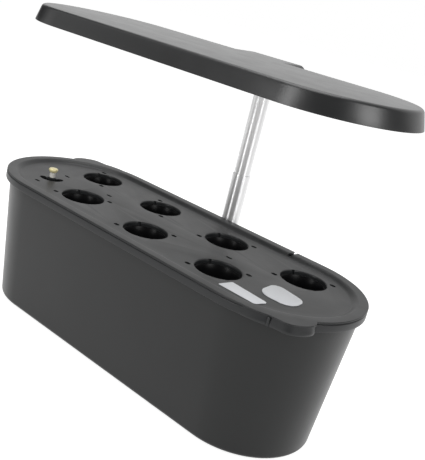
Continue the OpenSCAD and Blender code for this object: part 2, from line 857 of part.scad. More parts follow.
module drain_slots() {
    for (i = [0:holes - 1], side = [-1, 1])
        translate([hole_x(i), hole_y(i), 0])
            translate([side * slot_reach, side * slot_side[i % len(slot_side)] * slot_reach, 0])
                slot_cut(slot_l, slot_w, under_z - over, deck_t + 2 * over);
    for (share = thin_slot_x_shares)
        translate([share * deck_s, 0, 0])
            slot_cut(thin_slot_l, thin_slot_w, under_z - over, deck_t + 2 * over);
    for (p = gauge_slots_share)
        translate([gauge_x + p[0] * deck_r, gauge_y + p[1] * deck_r, 0])
            slot_cut(thin_slot_l, thin_slot_w, under_z - over, deck_t + 2 * over);
}

// The round-ended fill slot that curves round the gauge
module fill_slot() {
    mid = (fill_in_r + fill_out_r) / 2;
    w = fill_out_r - fill_in_r;
    translate([gauge_x, gauge_y, 0]) {
        rotate([0, 0, fill_start]) rotate_extrude(angle = fill_sweep)
            translate([fill_in_r, under_z - over]) square([w, deck_t + 2 * over]);
        for (a = [fill_start, fill_start + fill_sweep])
            rotate([0, 0, a]) translate([mid, 0, under_z - over])
                cylinder(r = w / 2, h = deck_t + 2 * over, $fn = 48);
    }
}

module key_places() {
    translate([overlay_x, overlay_y, 0]) rotate([0, 0, key_turn]) for (side = [-1, 1])
        translate([side * key_spread_share * overlay_l, 0, 0]) children();
}

module box_boss_places() {
    translate([overlay_x, overlay_y, 0]) rotate([0, 0, key_turn]) for (side = [-1, 1])
        translate([side * box_boss_x, 0, 0]) children();
}

module deck() {
    color("#5c5e60") at_tank() difference() {
        union() {
            around(deck_s) deck_section();
            tabs();
            hole_places() translate([0, 0, seat_z - deck_t])
                cylinder(r = hole_r + hole_wall, h = under_z - seat_z + 2 * deck_t - deck_t / 2);
            translate([gauge_x, gauge_y, under_z - stem_boss_h])
                cylinder(r = stem_r + stem_boss_t, h = stem_boss_h + deck_t + stem_boss_up);
            box_boss_places() translate([0, 0, under_z - box_boss_h])
                cylinder(r = boss_r, h = box_boss_h + deck_t / 2, $fn = 48);
        }
        hole_places() {
            translate([0, 0, seat_z]) cylinder(r = hole_r, h = deck_z);
            translate([0, 0, seat_z - deck_t - over]) cylinder(r = ledge_r, h = deck_z);
            for (a = lug_angles) rotate([0, 0, a])
                translate([hole_r - over, -lug_w / 2, seat_z]) cube([over + lug_reach, lug_w, deck_z]);
        }
        translate([gauge_x, gauge_y, under_z - stem_boss_h - over])
            cylinder(r = stem_r + run_gap, h = stem_boss_h + deck_t + stem_boss_up + 2 * over);
        fill_slot();
        drain_slots();
        key_places() translate([0, 0, under_z - over])
            cylinder(r = key_r + seat_gap, h = deck_t + 2 * over, $fn = 48);
        box_boss_places() translate([0, 0, under_z - box_boss_h - over])
            cylinder(r = screw_r + screw_gap, h = box_boss_h + over, $fn = 32);
        translate([notch_x_share * deck_s - notch_w / 2, lip_in_r + lip_w / 2, deck_z - notch_h])
            cube([notch_w, lip_w, notch_h + over]);
    }
}

// A collar hangs on the ledge in its hole, and two lugs in the hole's wall keep it from turning
module pod_collars() {
    outer_r = hole_r - slip_gap;
    sleeve_r = ledge_r - slip_gap;
    color("#17181a") at_tank() hole_places() {
        rotate_extrude() polygon([
            [pod_r, collar_z], [sleeve_r, collar_z], [sleeve_r, seat_z], [outer_r, seat_z],
            [outer_r, collar_top_z], [pod_r + collar_mouth, collar_top_z], [pod_r, seat_z]]);
        for (a = lug_angles) rotate([0, 0, a])
            translate([outer_r - lug_reach / 2, slip_gap - lug_w / 2, seat_z])
                cube([lug_reach + lug_reach / 2, lug_w - 2 * slip_gap, collar_flange_h]);
    }
}

module front_plate() {
    color("#d5d7da") at_tank() translate([plate_x, plate_y, floor_z]) linear_extrude(height = plate_t)
        hull() for (p = plate_shares)
            translate([p[0] * plate_l, p[1] * plate_l]) circle(r = p[2] * plate_l, $fn = 32);
}

module control_overlay() {
    color("#d6d8dc") at_tank() translate([overlay_x, overlay_y, floor_z]) linear_extrude(height = overlay_t)
        hull() for (p = overlay_shares)
            translate([p[0] * overlay_l, p[1] * overlay_l]) circle(r = p[2] * overlay_l, $fn = 32);
}

module control_box() {
    color("#2f3133") at_tank() difference() {
        union() {
            translate([overlay_x, overlay_y, 0]) rotate([0, 0, key_turn])
                oval_plate(box_s, box_r, box_z, box_h);
            box_boss_places() translate([0, 0, under_z - box_boss_h - box_ear_t])
                cylinder(r = boss_r + slip_gap, h = box_ear_t, $fn = 48);
            translate([overlay_x, overlay_y, 0]) rotate([0, 0, key_turn])
                translate([-box_boss_x, -boss_r, under_z - box_boss_h - box_ear_t])
                    cube([2 * box_boss_x, 2 * boss_r, box_ear_t]);
        }
        box_boss_places() translate([0, 0, under_z - box_boss_h])
            cylinder(r = boss_r + seat_gap, h = box_boss_h + over, $fn = 48);
        translate([overlay_x, overlay_y, 0]) rotate([0, 0, key_turn])
            oval_plate(box_s, box_r - box_wall, box_in_z, box_h);
        box_boss_places() translate([0, 0, under_z - box_h])
            cylinder(r = screw_r + slip_gap, h = box_h, $fn = 32);
    }
}

module control_board() {
    r = box_r - box_wall - seat_gap;
    color("#2f6b3c") at_tank() translate([overlay_x, overlay_y, 0]) rotate([0, 0, key_turn]) {
        oval_plate(box_s, r, box_board_z, board_t);
        for (side = [-1, 1]) translate([side * box_s, 0, box_in_z])
            cylinder(r = small_boss_r, h = box_board_up + board_t / 2, $fn = 32);
    }
}

module key_switches() {
    color("#1c1d1e") at_tank() key_places() difference() {
        translate([-switch_w / 2, -switch_w / 2, switch_z]) cube([switch_w, switch_w, switch_h]);
        translate([0, 0, switch_floor_z]) cylinder(r = key_r + run_gap, h = switch_h, $fn = 48);
    }
}

// A key stands in its switch, under the overlay, with its travel below it
module key(side) {
    z0 = switch_floor_z + key_travel + key_gap;
    color("#e2e2dd") at_tank() translate([overlay_x, overlay_y, 0]) rotate([0, 0, key_turn])
        translate([side * key_spread_share * overlay_l, 0, z0])
            cylinder(r = key_r, h = floor_z - key_gap - z0, $fn = 48);
}

module light_key() key(-1);
module pump_key() key(1);

module control_screws() {
    color("#8c8f93") at_tank() box_boss_places() translate([0, 0, under_z - box_boss_h - box_ear_t])
        screw(screw_r, box_ear_t + box_boss_h - seat_gap, screw_head_r, screw_head_h);
}

// Water gauge

module float_cage() {
    color("#2b2d2f") at_tank() translate([gauge_x, gauge_y, 0]) difference() {
        translate([0, 0, cage_z]) cylinder(r = cage_in_r + cage_t, h = under_z - cage_z);
        translate([0, 0, cage_z + cage_floor_t]) cylinder(r = cage_in_r, h = under_z);
        translate([0, 0, cage_z - over]) cylinder(r = wire_r, h = cage_floor_t + 2 * over);
        for (i = [0:cage_windows - 1]) rotate([0, 0, i * 360 / cage_windows])
            translate([0, -cage_window_w / 2, cage_z + 2 * cage_floor_t])
                cube([cage_in_r + cage_t + over, cage_window_w, (under_z - cage_z) / 2]);
    }
}

module float_body() {
    e = float_edge_r;
    color("#f0efe8") at_tank() translate([gauge_x, gauge_y, 0]) difference() {
        rotate_extrude() polygon(concat([[0, float_z]], arc(float_r - e, float_z + e, e, -90, 0, 4),
            arc(float_r - e, float_top - e, e, 0, 90, 4), [[0, float_top]]));
        translate([0, 0, stem_z]) cylinder(r = stem_r + run_gap, h = float_h, $fn = 48);
    }
}

module float_stem() {
    color("#f3f2ee") at_tank() translate([gauge_x, gauge_y, stem_z])
        cylinder(r = stem_r, h = stem_top - stem_z);
}

module float_cap() {
    z = floor_z + gauge_show - gauge_cap_h;
    color("#e6dcae") at_tank() translate([gauge_x, gauge_y, 0]) difference() {
        rotate_extrude() polygon(concat(
            [[0, z], [gauge_cap_r - cap_foot_in, z], [gauge_cap_r, z + cap_foot_h]],
            arc(gauge_cap_r - cap_dome_r, z + gauge_cap_h - cap_dome_r, cap_dome_r, 0, 90, 4),
            [[0, z + gauge_cap_h]]));
        translate([0, 0, z - over]) cylinder(r = stem_r + run_gap, h = over + stem_top - z, $fn = 48);
    }
}

// Pump: the barrel's own frame has its mouth at the origin and its body along +Z
module at_pump() at_tank() translate([pump_x - pump_l / 2, 0, pump_z]) rotate([0, 90, 0]) children();

module cup_places() for (sx = [-1, 1], sy = [-1, 1])
    translate([pump_x + sx * cup_x_share * pump_l, sy * cup_y, inner_z]) children();

module pump_body() {
    color("#232527") {
        difference() {
            union() {
                at_pump() cylinder(r = pump_r, h = pump_l - end_cap_t);
                at_tank() translate([pump_x - pump_l / 2, -pump_foot_w / 2, inner_z + cup_h])
                    cube([pump_l - end_cap_t, pump_foot_w, pump_r]);
                at_tank() translate([spout_x, 0, pump_z])
                    cylinder(r = spout_r + spout_boss_t, h = pump_r + spout_seat);
            }
            at_pump() {
                translate([0, 0, -over]) cylinder(r = chamber_r, h = chamber_l + over);
                cylinder(r = well_r, h = chamber_l + well_l);
                cylinder(r = shaft_r + run_gap, h = chamber_l + well_l + shaft_seat, $fn = 48);
                translate([0, 0, pump_l - end_cap_t - coil_l - coil_gap]) difference() {
                    cylinder(r = coil_out_r + coil_gap, h = pump_l);
                    cylinder(r = coil_in_r - coil_gap, h = pump_l);
                }
            }
            at_tank() translate([spout_x, 0, pump_z])
                cylinder(r = spout_bore_r, h = pump_d);
            at_tank() translate([spout_x, 0, pump_z + pump_r])
                cylinder(r = spout_r + run_gap, h = pump_d);
            at_tank() cup_places() translate([0, 0, cup_h - over])
                cylinder(r = cup_neck_r + run_gap, h = over + cup_neck_h + seat_gap, $fn = 32);
        }
    }
}

module pump_coil() {
    color("#b5763a") at_pump() tube(coil_out_r, coil_in_r, pump_l - end_cap_t - coil_l, coil_l);
}

module pump_end_cap() {
    color("#232527") at_pump() translate([0, 0, pump_l - end_cap_t]) cylinder(r = pump_r, h = end_cap_t);
}

module pump_shaft() {
    color("#e9e6df") at_pump() translate([0, 0, -pump_cover_t + seat_gap])
        cylinder(r = shaft_r, h = chamber_l + well_l + shaft_seat + pump_cover_t - 2 * seat_gap, $fn = 48);
}

module pump_cover() {
    color("#2a2c2e") at_pump() translate([0, 0, -pump_cover_t]) difference() {
        cylinder(r = pump_r, h = pump_cover_t);
        translate([0, 0, seat_gap]) cylinder(r = shaft_r + run_gap, h = pump_cover_t, $fn = 48);
        for (i = [0:inlet_count - 1]) rotate([0, 0, i * 360 / inlet_count]) translate([0, 0, -over])
            rotate_extrude(angle = 360 / inlet_count * inlet_open_share)
                translate([inlet_in_r, 0]) square([inlet_out_r - inlet_in_r, pump_cover_t + 2 * over]);
    }
}

module pump_spout() {
    color("#2a2c2e") at_tank() translate([spout_x, 0, 0])
        tube(spout_r, spout_bore_r, pump_z + pump_r, spout_h);
}

module pump_filter() {
    color("#54606b") at_pump() translate([0, 0, -pump_cover_t - filter_t])
        cylinder(r = pump_r - filter_cap_t - filter_gap, h = filter_t - filter_gap);
}

module filter_cap() {
    depth = filter_t + filter_cap_t;
    color("#2a2c2e") at_pump() translate([0, 0, -pump_cover_t - filter_t - filter_cap_t]) difference() {
        cylinder(r = pump_r, h = depth);
        translate([0, 0, filter_cap_t - filter_gap]) cylinder(r = pump_r - filter_cap_t, h = depth);
        for (i = [0:grille_slots - 1])
            translate([(i - (grille_slots - 1) / 2) * grille_pitch, 0, 0]) rotate([0, 0, 90])
                slot_cut(pump_r, grille_w, -over, filter_cap_t + over);
    }
}

module suction_cups() {
    color("#303234") at_tank() cup_places() difference() {
        union() {
            cylinder(r1 = cup_r, r2 = cup_r / 2, h = cup_h, $fn = 48);
            cylinder(r = cup_neck_r, h = cup_h + cup_neck_h, $fn = 32);
        }
        translate([0, 0, -over]) cylinder(r1 = cup_r, r2 = cup_neck_r, h = over + cup_h / 2, $fn = 48);
    }
}

module pump_impeller() {
    z0 = seat_gap;
    color("#e4e2dc") at_pump() difference() {
        union() {
            translate([0, 0, z0]) cylinder(r = hub_r, h = chamber_l + well_l - 2 * seat_gap);
            intersection() {
                translate([0, 0, z0]) cylinder(r = blade_r, h = blade_h);
                for (i = [0:blade_count - 1]) rotate([0, 0, i * 360 / blade_count])
                    translate([hub_r / 2, -blade_t / 2, z0]) cube([blade_r, blade_t, blade_h]);
            }
        }
        translate([0, 0, -over]) cylinder(r = hub_bore_r, h = pump_l, $fn = 48);
    }
}

module rotor_magnet() {
    color("#4a4d52") at_pump()
        tube(magnet_r, hub_r + run_gap, chamber_l + seat_gap, well_l - seat_gap - magnet_gap);
}

tank_shell();
rubber_feet();
rear_housing();
rear_cover();
housing_screws();
cover_screws();
dc_jack();
power_board();
lower_tube();
tube_stop();
pump_body();
pump_cover();
pump_coil();
pump_end_cap();
pump_shaft();
pump_spout();
pump_filter();
filter_cap();
suction_cups();
pump_impeller();
rotor_magnet();
deck();
pod_collars();
front_plate();
control_overlay();
control_box();
control_board();
key_switches();
control_screws();
float_cage();
float_body();
float_stem();
float_cap();
light_key();
pump_key();
upper_tube();
slider_bush();
swivel_cap();
hood_shell();
pivot_bracket();
pivot_screws();
hood_cover();
hood_cover_screws();
light_diffuser();
led_board();
led_chips();
board_screws();
light_socket();
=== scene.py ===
# %% [markdown]
# # A countertop hydroponic garden
# This notebook dresses a garden for seven plants: a leaning oblong water tank, a deck
# that drops into its mouth, a telescopic post and a flat light. The tank, the deck and
# the light are injection mouldings in charcoal plastic, so most of the work is in their
# rounded edges and in how such plastic catches a pale studio. Sizes are written in
# millimetres and turned to Blender's metres where a mesh is made, and every piece is
# made in the same place as its solid model.

# %% Load the solid model
import math
import bmesh
import bpy
from mathutils import Matrix, Vector


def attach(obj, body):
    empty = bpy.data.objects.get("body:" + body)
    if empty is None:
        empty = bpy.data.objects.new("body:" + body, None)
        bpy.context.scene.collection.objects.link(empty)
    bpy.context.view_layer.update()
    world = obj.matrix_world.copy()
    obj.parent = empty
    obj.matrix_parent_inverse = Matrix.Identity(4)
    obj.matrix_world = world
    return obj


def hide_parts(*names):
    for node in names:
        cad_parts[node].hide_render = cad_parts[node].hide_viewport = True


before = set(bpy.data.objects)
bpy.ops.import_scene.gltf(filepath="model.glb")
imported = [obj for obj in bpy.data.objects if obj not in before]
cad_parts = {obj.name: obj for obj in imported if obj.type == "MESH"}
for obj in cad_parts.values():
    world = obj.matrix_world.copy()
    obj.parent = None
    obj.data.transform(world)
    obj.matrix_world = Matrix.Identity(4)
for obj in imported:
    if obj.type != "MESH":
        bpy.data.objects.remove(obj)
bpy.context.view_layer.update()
MM = 0.001

# %% [markdown]
# ## The camera
# The view looks along the tank from its right end, from a little above the light. Two of
# the camera's axes are written as directions, its right and its back, and its up follows
# from them. The lens is long, which keeps the oblong shapes calm, and the picture is
# cropped a little low and to the right of the axis, which the two shifts repeat.

# %% Camera
def new_object(name, data):
    made = bpy.data.objects.new(name, data)
    bpy.context.scene.collection.objects.link(made)
    return made

PICTURE_W, PICTURE_H = 425, 460
FOCAL_PX = 761.73
AXIS_X_PX, AXIS_Y_PX = 192.70, 182.76

def make_camera(place_mm=(380.8, -479.46, 308.6)):
    right = Vector((0.7272, 0.6472, 0.2286)).normalized()
    back = Vector((0.6007, -0.7612, 0.2443)).normalized()
    up = back.cross(right).normalized()
    right = up.cross(back)
    turn = Matrix((right, up, back)).transposed().to_4x4()
    data = bpy.data.cameras.new("view")
    data.sensor_fit = "AUTO"
    data.sensor_width = 36.0
    data.lens = FOCAL_PX / PICTURE_H * data.sensor_width
    data.shift_x = (PICTURE_W / 2 - AXIS_X_PX) / PICTURE_H
    data.shift_y = (AXIS_Y_PX - PICTURE_H / 2) / PICTURE_H
    data.clip_start = 0.01
    camera = new_object("view", data)
    camera.matrix_world = Matrix.Translation(Vector(place_mm) * MM) @ turn
    bpy.context.scene.camera = camera
    return camera

camera = make_camera()
print("camera: lens %.1f mm, shift %.3f %.3f" % (camera.data.lens, camera.data.shift_x, camera.data.shift_y))

# %% [markdown]
# ## Two helpers for every material
# Colours are given as hex values, but Blender's shaders work in linear light, so
# one function converts them. Another adds a node: it takes the node's settings and what
# goes into its sockets, either a value or another node's output, which it links.

# %% Colour and node helpers
def linear(code):
    parts = [int(code[i:i + 2], 16) / 255 for i in (1, 3, 5)]
    return [v / 12.92 if v <= 0.04045 else ((v + 0.055) / 1.055) ** 2.4 for v in parts] + [1.0]

def add(tree, kind, sockets=None, **settings):
    node = tree.nodes.new(kind)
    for name, value in settings.items():
        setattr(node, name, value)
    for key, value in (sockets or {}).items():
        if isinstance(value, bpy.types.NodeSocket):
            tree.links.new(value, node.inputs[key])
        else:
            node.inputs[key].default_value = value
    return node

def new_material(name):
    material = bpy.data.materials.new(name)
    material.use_nodes = True
    material.node_tree.nodes.clear()
    return material, material.node_tree

# %% [markdown]
# ## Moulded plastic
# The tank, the deck and the light are ABS from a spark-eroded mould. The mould's fine
# grain leaves the surface satin: a soft sheen at a flat angle, and nearly no reflection
# seen square on. Three layers give that. A cloud of a few centimetres moves the colour
# by a shade, as flow in the mould does; a second, smaller cloud varies the gloss, as
# handling does; and a grain roughens the surface through bump. Real grain is finer than
# the picture can show, so it is drawn coarser, about a millimetre wide. Roughness is kept
# above 0.27, because below that the bump leaves dark specks in the rendered sheen.

# %% Moulded plastic
CLOUD_MM = 40
WEAR_MM = 18
RELIEF_MM = 0.1

def moulded_plastic(name, dark, light, rough, grain_mm, bump, level=0.5):
    material, tree = new_material(name)
    place = add(tree, "ShaderNodeTexCoord").outputs["Object"]
    cloud = add(tree, "ShaderNodeTexNoise", {"Vector": place, "Scale": 1 / (CLOUD_MM * MM), "Detail": 3.0})
    tone = add(tree, "ShaderNodeMixRGB", {
        "Fac": cloud.outputs["Fac"], "Color1": linear(dark), "Color2": linear(light)})
    wear = add(tree, "ShaderNodeTexNoise", {"Vector": place, "Scale": 1 / (WEAR_MM * MM), "Detail": 4.0})
    gloss = add(tree, "ShaderNodeMapRange", {
        "Value": wear.outputs["Fac"], "To Min": rough - 0.05, "To Max": rough + 0.05})
    grain = add(tree, "ShaderNodeTexNoise", {"Vector": place, "Scale": 1 / (grain_mm * MM), "Detail": 2.0})
    relief = add(tree, "ShaderNodeBump", {
        "Height": grain.outputs["Fac"], "Strength": bump, "Distance": RELIEF_MM * MM})
    shader = add(tree, "ShaderNodeBsdfPrincipled", {
        "Base Color": tone.outputs["Color"], "Roughness": gloss.outputs["Result"],
        "Normal": relief.outputs["Normal"], "IOR": 1.5, "Specular IOR Level": level})
    add(tree, "ShaderNodeOutputMaterial", {"Surface": shader.outputs["BSDF"]})
    return material

# %% The charcoal mouldings
# The tank's satin wall shows the room as soft bands.
tank_abs = moulded_plastic(
    "charcoal_abs_satin", "#1a1b1b", "#1f2020", rough=0.32, grain_mm=0.7, bump=0.25, level=0.3)
# The deck is duller: a grey floor with no clear reflection.
deck_abs = moulded_plastic(
    "charcoal_abs_matt", "#1d1e1f", "#222324", rough=0.4, grain_mm=0.9, bump=0.35, level=0.36)
# The light's shell has the strongest sheen, bright where it turns away.
hood_abs = moulded_plastic("charcoal_abs_light", "#1f2020", "#242425", rough=0.31, grain_mm=0.8, bump=0.3)
# Inner mouldings are plain and dull.
inner_abs = moulded_plastic("black_abs_inner", "#202122", "#27282a", rough=0.5, grain_mm=0.8, bump=0.2)
# Collars come from a polished mould: nearly black, with short glints.
collar_abs = moulded_plastic(
    "black_abs_gloss", "#0a0a0b", "#101011", rough=0.32, grain_mm=2.0, bump=0.05, level=0.1)
print("charcoal and black plastics:", len(bpy.data.materials))

# %% Pale plastics, rubber and the boards' lacquer
# Polyester film over a plate is an even pale grey with a soft gloss.
plate_film = moulded_plastic("grey_polyester_film", "#d4d6da", "#dcdee1", rough=0.35, grain_mm=1.2, bump=0.1)
# White and cream ABS from a polished mould have a small clear highlight.
white_abs = moulded_plastic("white_abs", "#e4e2da", "#ece9e2", rough=0.32, grain_mm=1.5, bump=0.05)
cream_abs = moulded_plastic("cream_abs", "#f8e8a8", "#fff5c2", rough=0.32, grain_mm=1.5, bump=0.05)
# The light's window is opal, so it looks an even off-white.
diffuser_pc = moulded_plastic("opal_polycarbonate", "#eeeeea", "#f6f6f2", rough=0.45, grain_mm=1.0, bump=0.1)
# Moulded rubber has almost no sheen.
rubber = moulded_plastic("black_rubber", "#1b1b1b", "#232323", rough=0.7, grain_mm=1.0, bump=0.4)
# Solder mask is a thin glossy green lacquer.
board_green = moulded_plastic("green_solder_mask", "#1f5a2c", "#2a6b38", rough=0.3, grain_mm=1.0, bump=0.1)
print("plastics, rubber and lacquer:", len(bpy.data.materials))

# %% [markdown]
# ## Metal
# The post is a pair of steel tubes that were ground as they turned, so very fine scratches
# run round them. Scratches smear a reflection across themselves: on a tube that stands
# upright, into bright and dark lines from top to bottom. The shader's anisotropy does
# that, and a noise stretched along the tube breaks the lines up a little. The screws are
# zinc plated, duller and slightly mottled.

# %% Metals
QUARTER_TURN = 0.25

def plated_metal(name, dark, light, rough, grain_mm, stretch, ground=0.0, metallic=1.0):
    material, tree = new_material(name)
    place = add(tree, "ShaderNodeTexCoord").outputs["Object"]
    drawn = add(tree, "ShaderNodeMapping", {"Vector": place, "Scale": (1.0, 1.0, 1.0 / stretch)})
    lines = add(tree, "ShaderNodeTexNoise", {
        "Vector": drawn.outputs["Vector"], "Scale": 1 / (grain_mm * MM), "Detail": 2.0})
    tone = add(tree, "ShaderNodeMixRGB", {
        "Fac": lines.outputs["Fac"], "Color1": linear(dark), "Color2": linear(light)})
    gloss = add(tree, "ShaderNodeMapRange", {
        "Value": lines.outputs["Fac"], "To Min": rough * 0.9, "To Max": rough * 1.1})
    shader = add(tree, "ShaderNodeBsdfPrincipled", {
        "Base Color": tone.outputs["Color"], "Roughness": gloss.outputs["Result"], "Metallic": metallic,
        "Anisotropic": ground, "Anisotropic Rotation": QUARTER_TURN})
    add(tree, "ShaderNodeOutputMaterial", {"Surface": shader.outputs["BSDF"]})
    return material

# A ground tube shows the studio as upright lines of light and dark.
tube_chrome = plated_metal(
    "ground_steel_tube", "#f2f2f3", "#fcfcfc",
    rough=0.3, grain_mm=0.8, stretch=60.0, ground=1.0, metallic=0.7)
# Zinc plating is a cool grey with a blurred highlight.
screw_zinc = plated_metal("zinc_plated_steel", "#8d9094", "#a6a9ad", rough=0.35, grain_mm=0.5, stretch=1.0)
# Enamel over copper wire gives a warm brown shine.
coil_copper = plated_metal("enamelled_copper", "#9a5b2c", "#b87440", rough=0.3, grain_mm=0.4, stretch=1.0)
print("metals:", tube_chrome.name, screw_zinc.name, coil_copper.name)

# %% [markdown]
# ## Three ways to make a mesh
# Nearly every moulding here is one of three shapes. A *turned* piece is a profile spun
# about an axis: the tubes, the collars, the gauge. An *oval sweep* carries a profile round
# a long oval, two half circles joined by straights: the tank, the deck. And the boxes,
# brackets and covers are good as they stand in the solid model, but their edges are
# perfectly sharp, which no moulding is, so a copy of each is *softened* with a bevel.
# Real edges catch a thin line of light, and the eye misses it when it is absent.

# %% From points to a smooth mesh
SHARP = 38

def clean(mesh, merge_mm=0.002, flat_degrees=None):
    shape = bmesh.new()
    shape.from_mesh(mesh)
    bmesh.ops.remove_doubles(shape, verts=shape.verts, dist=merge_mm * MM)
    if flat_degrees is not None:
        flat = math.radians(flat_degrees)
        bmesh.ops.dissolve_limit(shape, angle_limit=flat, verts=shape.verts, edges=shape.edges)
    bmesh.ops.recalc_face_normals(shape, faces=shape.faces)
    shape.to_mesh(mesh)
    shape.free()

def shade(mesh, sharp=SHARP):
    mesh.shade_smooth()
    mesh.set_sharp_from_angle(angle=math.radians(sharp))

def mesh_piece(name, points, faces, material, sharp=SHARP):
    mesh = bpy.data.meshes.new(name)
    mesh.from_pydata([Vector(point) * MM for point in points], [], faces)
    clean(mesh)
    mesh.materials.append(material)
    shade(mesh, sharp)
    return new_object(name, mesh)

# %% Turned pieces
def arc(centre_x, centre_z, radius, start, end, steps=6):
    turns = [math.radians(start + (end - start) * i / steps) for i in range(steps + 1)]
    return [(centre_x + radius * math.cos(turn), centre_z + radius * math.sin(turn)) for turn in turns]

def peg(radius, low, high, bottom=0.0, top=0.0):
    # The profile of a solid round peg, with a chamfer at either end where one is given.
    lower = [(radius - bottom, low), (radius, low + bottom)] if bottom else [(radius, low)]
    upper = [(radius, high - top), (radius - top, high)] if top else [(radius, high)]
    return [(0, low)] + lower + upper + [(0, high)]

def turned(name, profile, centre, material, steps=96, closed=False, sharp=SHARP):
    points = []
    faces = []
    count = len(profile)
    for i in range(steps):
        turn = 2 * math.pi * i / steps
        points += [(centre[0] + radius * math.cos(turn), centre[1] + radius * math.sin(turn), z)
                   for radius, z in profile]
    for i in range(steps):
        here = i * count
        there = (i + 1) % steps * count
        for k in range(count if closed else count - 1):
            above = (k + 1) % count
            faces.append((here + k, there + k, there + above, here + above))
    return mesh_piece(name, points, faces, material, sharp)

# %% Skins over rings, and oval sweeps
TANK_Y = -12.76

def skin(name, rings, material):
    # Joins rings of equal length, each to the next, and closes the first and the last.
    count = len(rings[0])
    points = [point for ring in rings for point in ring]
    faces = [(a + i, a + (i + 1) % count, a + count + (i + 1) % count, a + count + i)
             for a in range(0, len(points) - count, count) for i in range(count)]
    ends = [tuple(range(count)), tuple(range(len(points) - count, len(points)))]
    return mesh_piece(name, points, faces + ends, material)

def oval_ring(half, radius, z, steps=56, straights=22):
    turns = [math.radians(-90 + 180 * i / steps) for i in range(steps + 1)]
    ring = [(half + radius * math.cos(turn), radius * math.sin(turn), z) for turn in turns]
    ring += [(half - 2 * half * i / straights, radius, z) for i in range(1, straights)]
    ring += [(-half - radius * math.cos(turn), -radius * math.sin(turn), z) for turn in turns]
    ring += [(-half + 2 * half * i / straights, -radius, z) for i in range(1, straights)]
    return [(x, y + TANK_Y, z) for x, y, z in ring]

def oval_sweep(name, half, profile, material):
    return skin(name, [oval_ring(half, radius, z) for radius, z in profile], material)

# %% Modifiers made real
def evaluated(piece):
    graph = bpy.context.evaluated_depsgraph_get()
    mesh = bpy.data.meshes.new_from_object(piece.evaluated_get(graph))
    piece.modifiers.clear()
    piece.data = mesh

def boolean(piece, other, operation):
    cut = piece.modifiers.new("cut", "BOOLEAN")
    cut.operation = operation
    cut.solver = "EXACT"
    cut.object = other
    evaluated(piece)
    bpy.data.objects.remove(other)

# %% [markdown]
# ## Patterns by Geometry Nodes
# The garden repeats itself: seven planting holes in two staggered rows, two rows of
# light chips, four feet. Each pattern is a small node tree with named inputs, so that a
# count or a pitch can be changed in one place. A tree makes points, puts a copy of one
# finished piece on each, turns the copies into real mesh and gives them their finish.

# %% What every pattern's tree has
def pattern_group(name, inputs):
    group = bpy.data.node_groups.new(name, "GeometryNodeTree")
    group.interface.new_socket("Geometry", in_out="OUTPUT", socket_type="NodeSocketGeometry")
    for label, kind in inputs:
        group.interface.new_socket(label, in_out="INPUT", socket_type=kind)
    return group, group.nodes.new("NodeGroupInput").outputs

def copies_on(group, points, given):
    source = add(group, "GeometryNodeObjectInfo", {"Object": given["Piece"]}, transform_space="RELATIVE")
    copies = add(group, "GeometryNodeInstanceOnPoints", {
        "Points": points, "Instance": source.outputs["Geometry"]})
    real = add(group, "GeometryNodeRealizeInstances", {0: copies.outputs[0]})
    painted = add(group, "GeometryNodeSetMaterial", {
        "Geometry": real.outputs[0], "Material": given["Finish"]})
    add(group, "NodeGroupOutput", {0: painted.outputs[0]})

# %% A tree for staggered rows
def staggered_rows():
    group, given = pattern_group("staggered_rows", [
        ("Count", "NodeSocketInt"), ("Pitch", "NodeSocketFloat"), ("Row", "NodeSocketFloat"),
        ("Middle", "NodeSocketVector"), ("Piece", "NodeSocketObject"), ("Finish", "NodeSocketMaterial")])
    gaps = add(group, "ShaderNodeMath", {0: given["Count"], 1: 1.0}, operation="SUBTRACT")
    length = add(group, "ShaderNodeMath", {0: gaps.outputs[0], 1: given["Pitch"]}, operation="MULTIPLY")
    first = add(group, "ShaderNodeMath", {0: length.outputs[0], 1: -0.5}, operation="MULTIPLY")
    begin = add(group, "ShaderNodeCombineXYZ", {"X": first.outputs[0]})
    step = add(group, "ShaderNodeCombineXYZ", {"X": given["Pitch"]})
    line = add(group, "GeometryNodeMeshLine", {
        "Count": given["Count"], "Start Location": begin.outputs[0],
        "Offset": step.outputs[0]}, mode="OFFSET")
    index = add(group, "GeometryNodeInputIndex")
    odd = add(group, "ShaderNodeMath", {0: index.outputs[0], 1: 2.0}, operation="MODULO")
    side = add(group, "ShaderNodeMath", {0: odd.outputs[0], 1: -2.0, 2: 1.0}, operation="MULTIPLY_ADD")
    shift = add(group, "ShaderNodeMath", {0: side.outputs[0], 1: given["Row"]}, operation="MULTIPLY")
    across = add(group, "ShaderNodeCombineXYZ", {"Y": shift.outputs[0]})
    place = add(group, "ShaderNodeVectorMath", {0: across.outputs[0], 1: given["Middle"]}, operation="ADD")
    moved = add(group, "GeometryNodeSetPosition", {"Geometry": line.outputs[0], "Offset": place.outputs[0]})
    copies_on(group, moved.outputs[0], given)
    return group

# %% Trees for a lattice and for given places
def lattice():
    group, given = pattern_group("lattice", [
        ("Columns", "NodeSocketInt"), ("Rows", "NodeSocketInt"), ("Width", "NodeSocketFloat"),
        ("Depth", "NodeSocketFloat"), ("Middle", "NodeSocketVector"), ("Piece", "NodeSocketObject"),
        ("Finish", "NodeSocketMaterial")])
    grid = add(group, "GeometryNodeMeshGrid", {
        "Size X": given["Width"], "Size Y": given["Depth"],
        "Vertices X": given["Columns"], "Vertices Y": given["Rows"]})
    moved = add(group, "GeometryNodeSetPosition", {"Geometry": grid.outputs[0], "Offset": given["Middle"]})
    copies_on(group, moved.outputs[0], given)
    return group

def at_places():
    group, given = pattern_group("at_places", [
        ("Places", "NodeSocketObject"), ("Piece", "NodeSocketObject"), ("Finish", "NodeSocketMaterial")])
    places = add(group, "GeometryNodeObjectInfo", {"Object": given["Places"]}, transform_space="RELATIVE")
    copies_on(group, places.outputs["Geometry"], given)
    return group

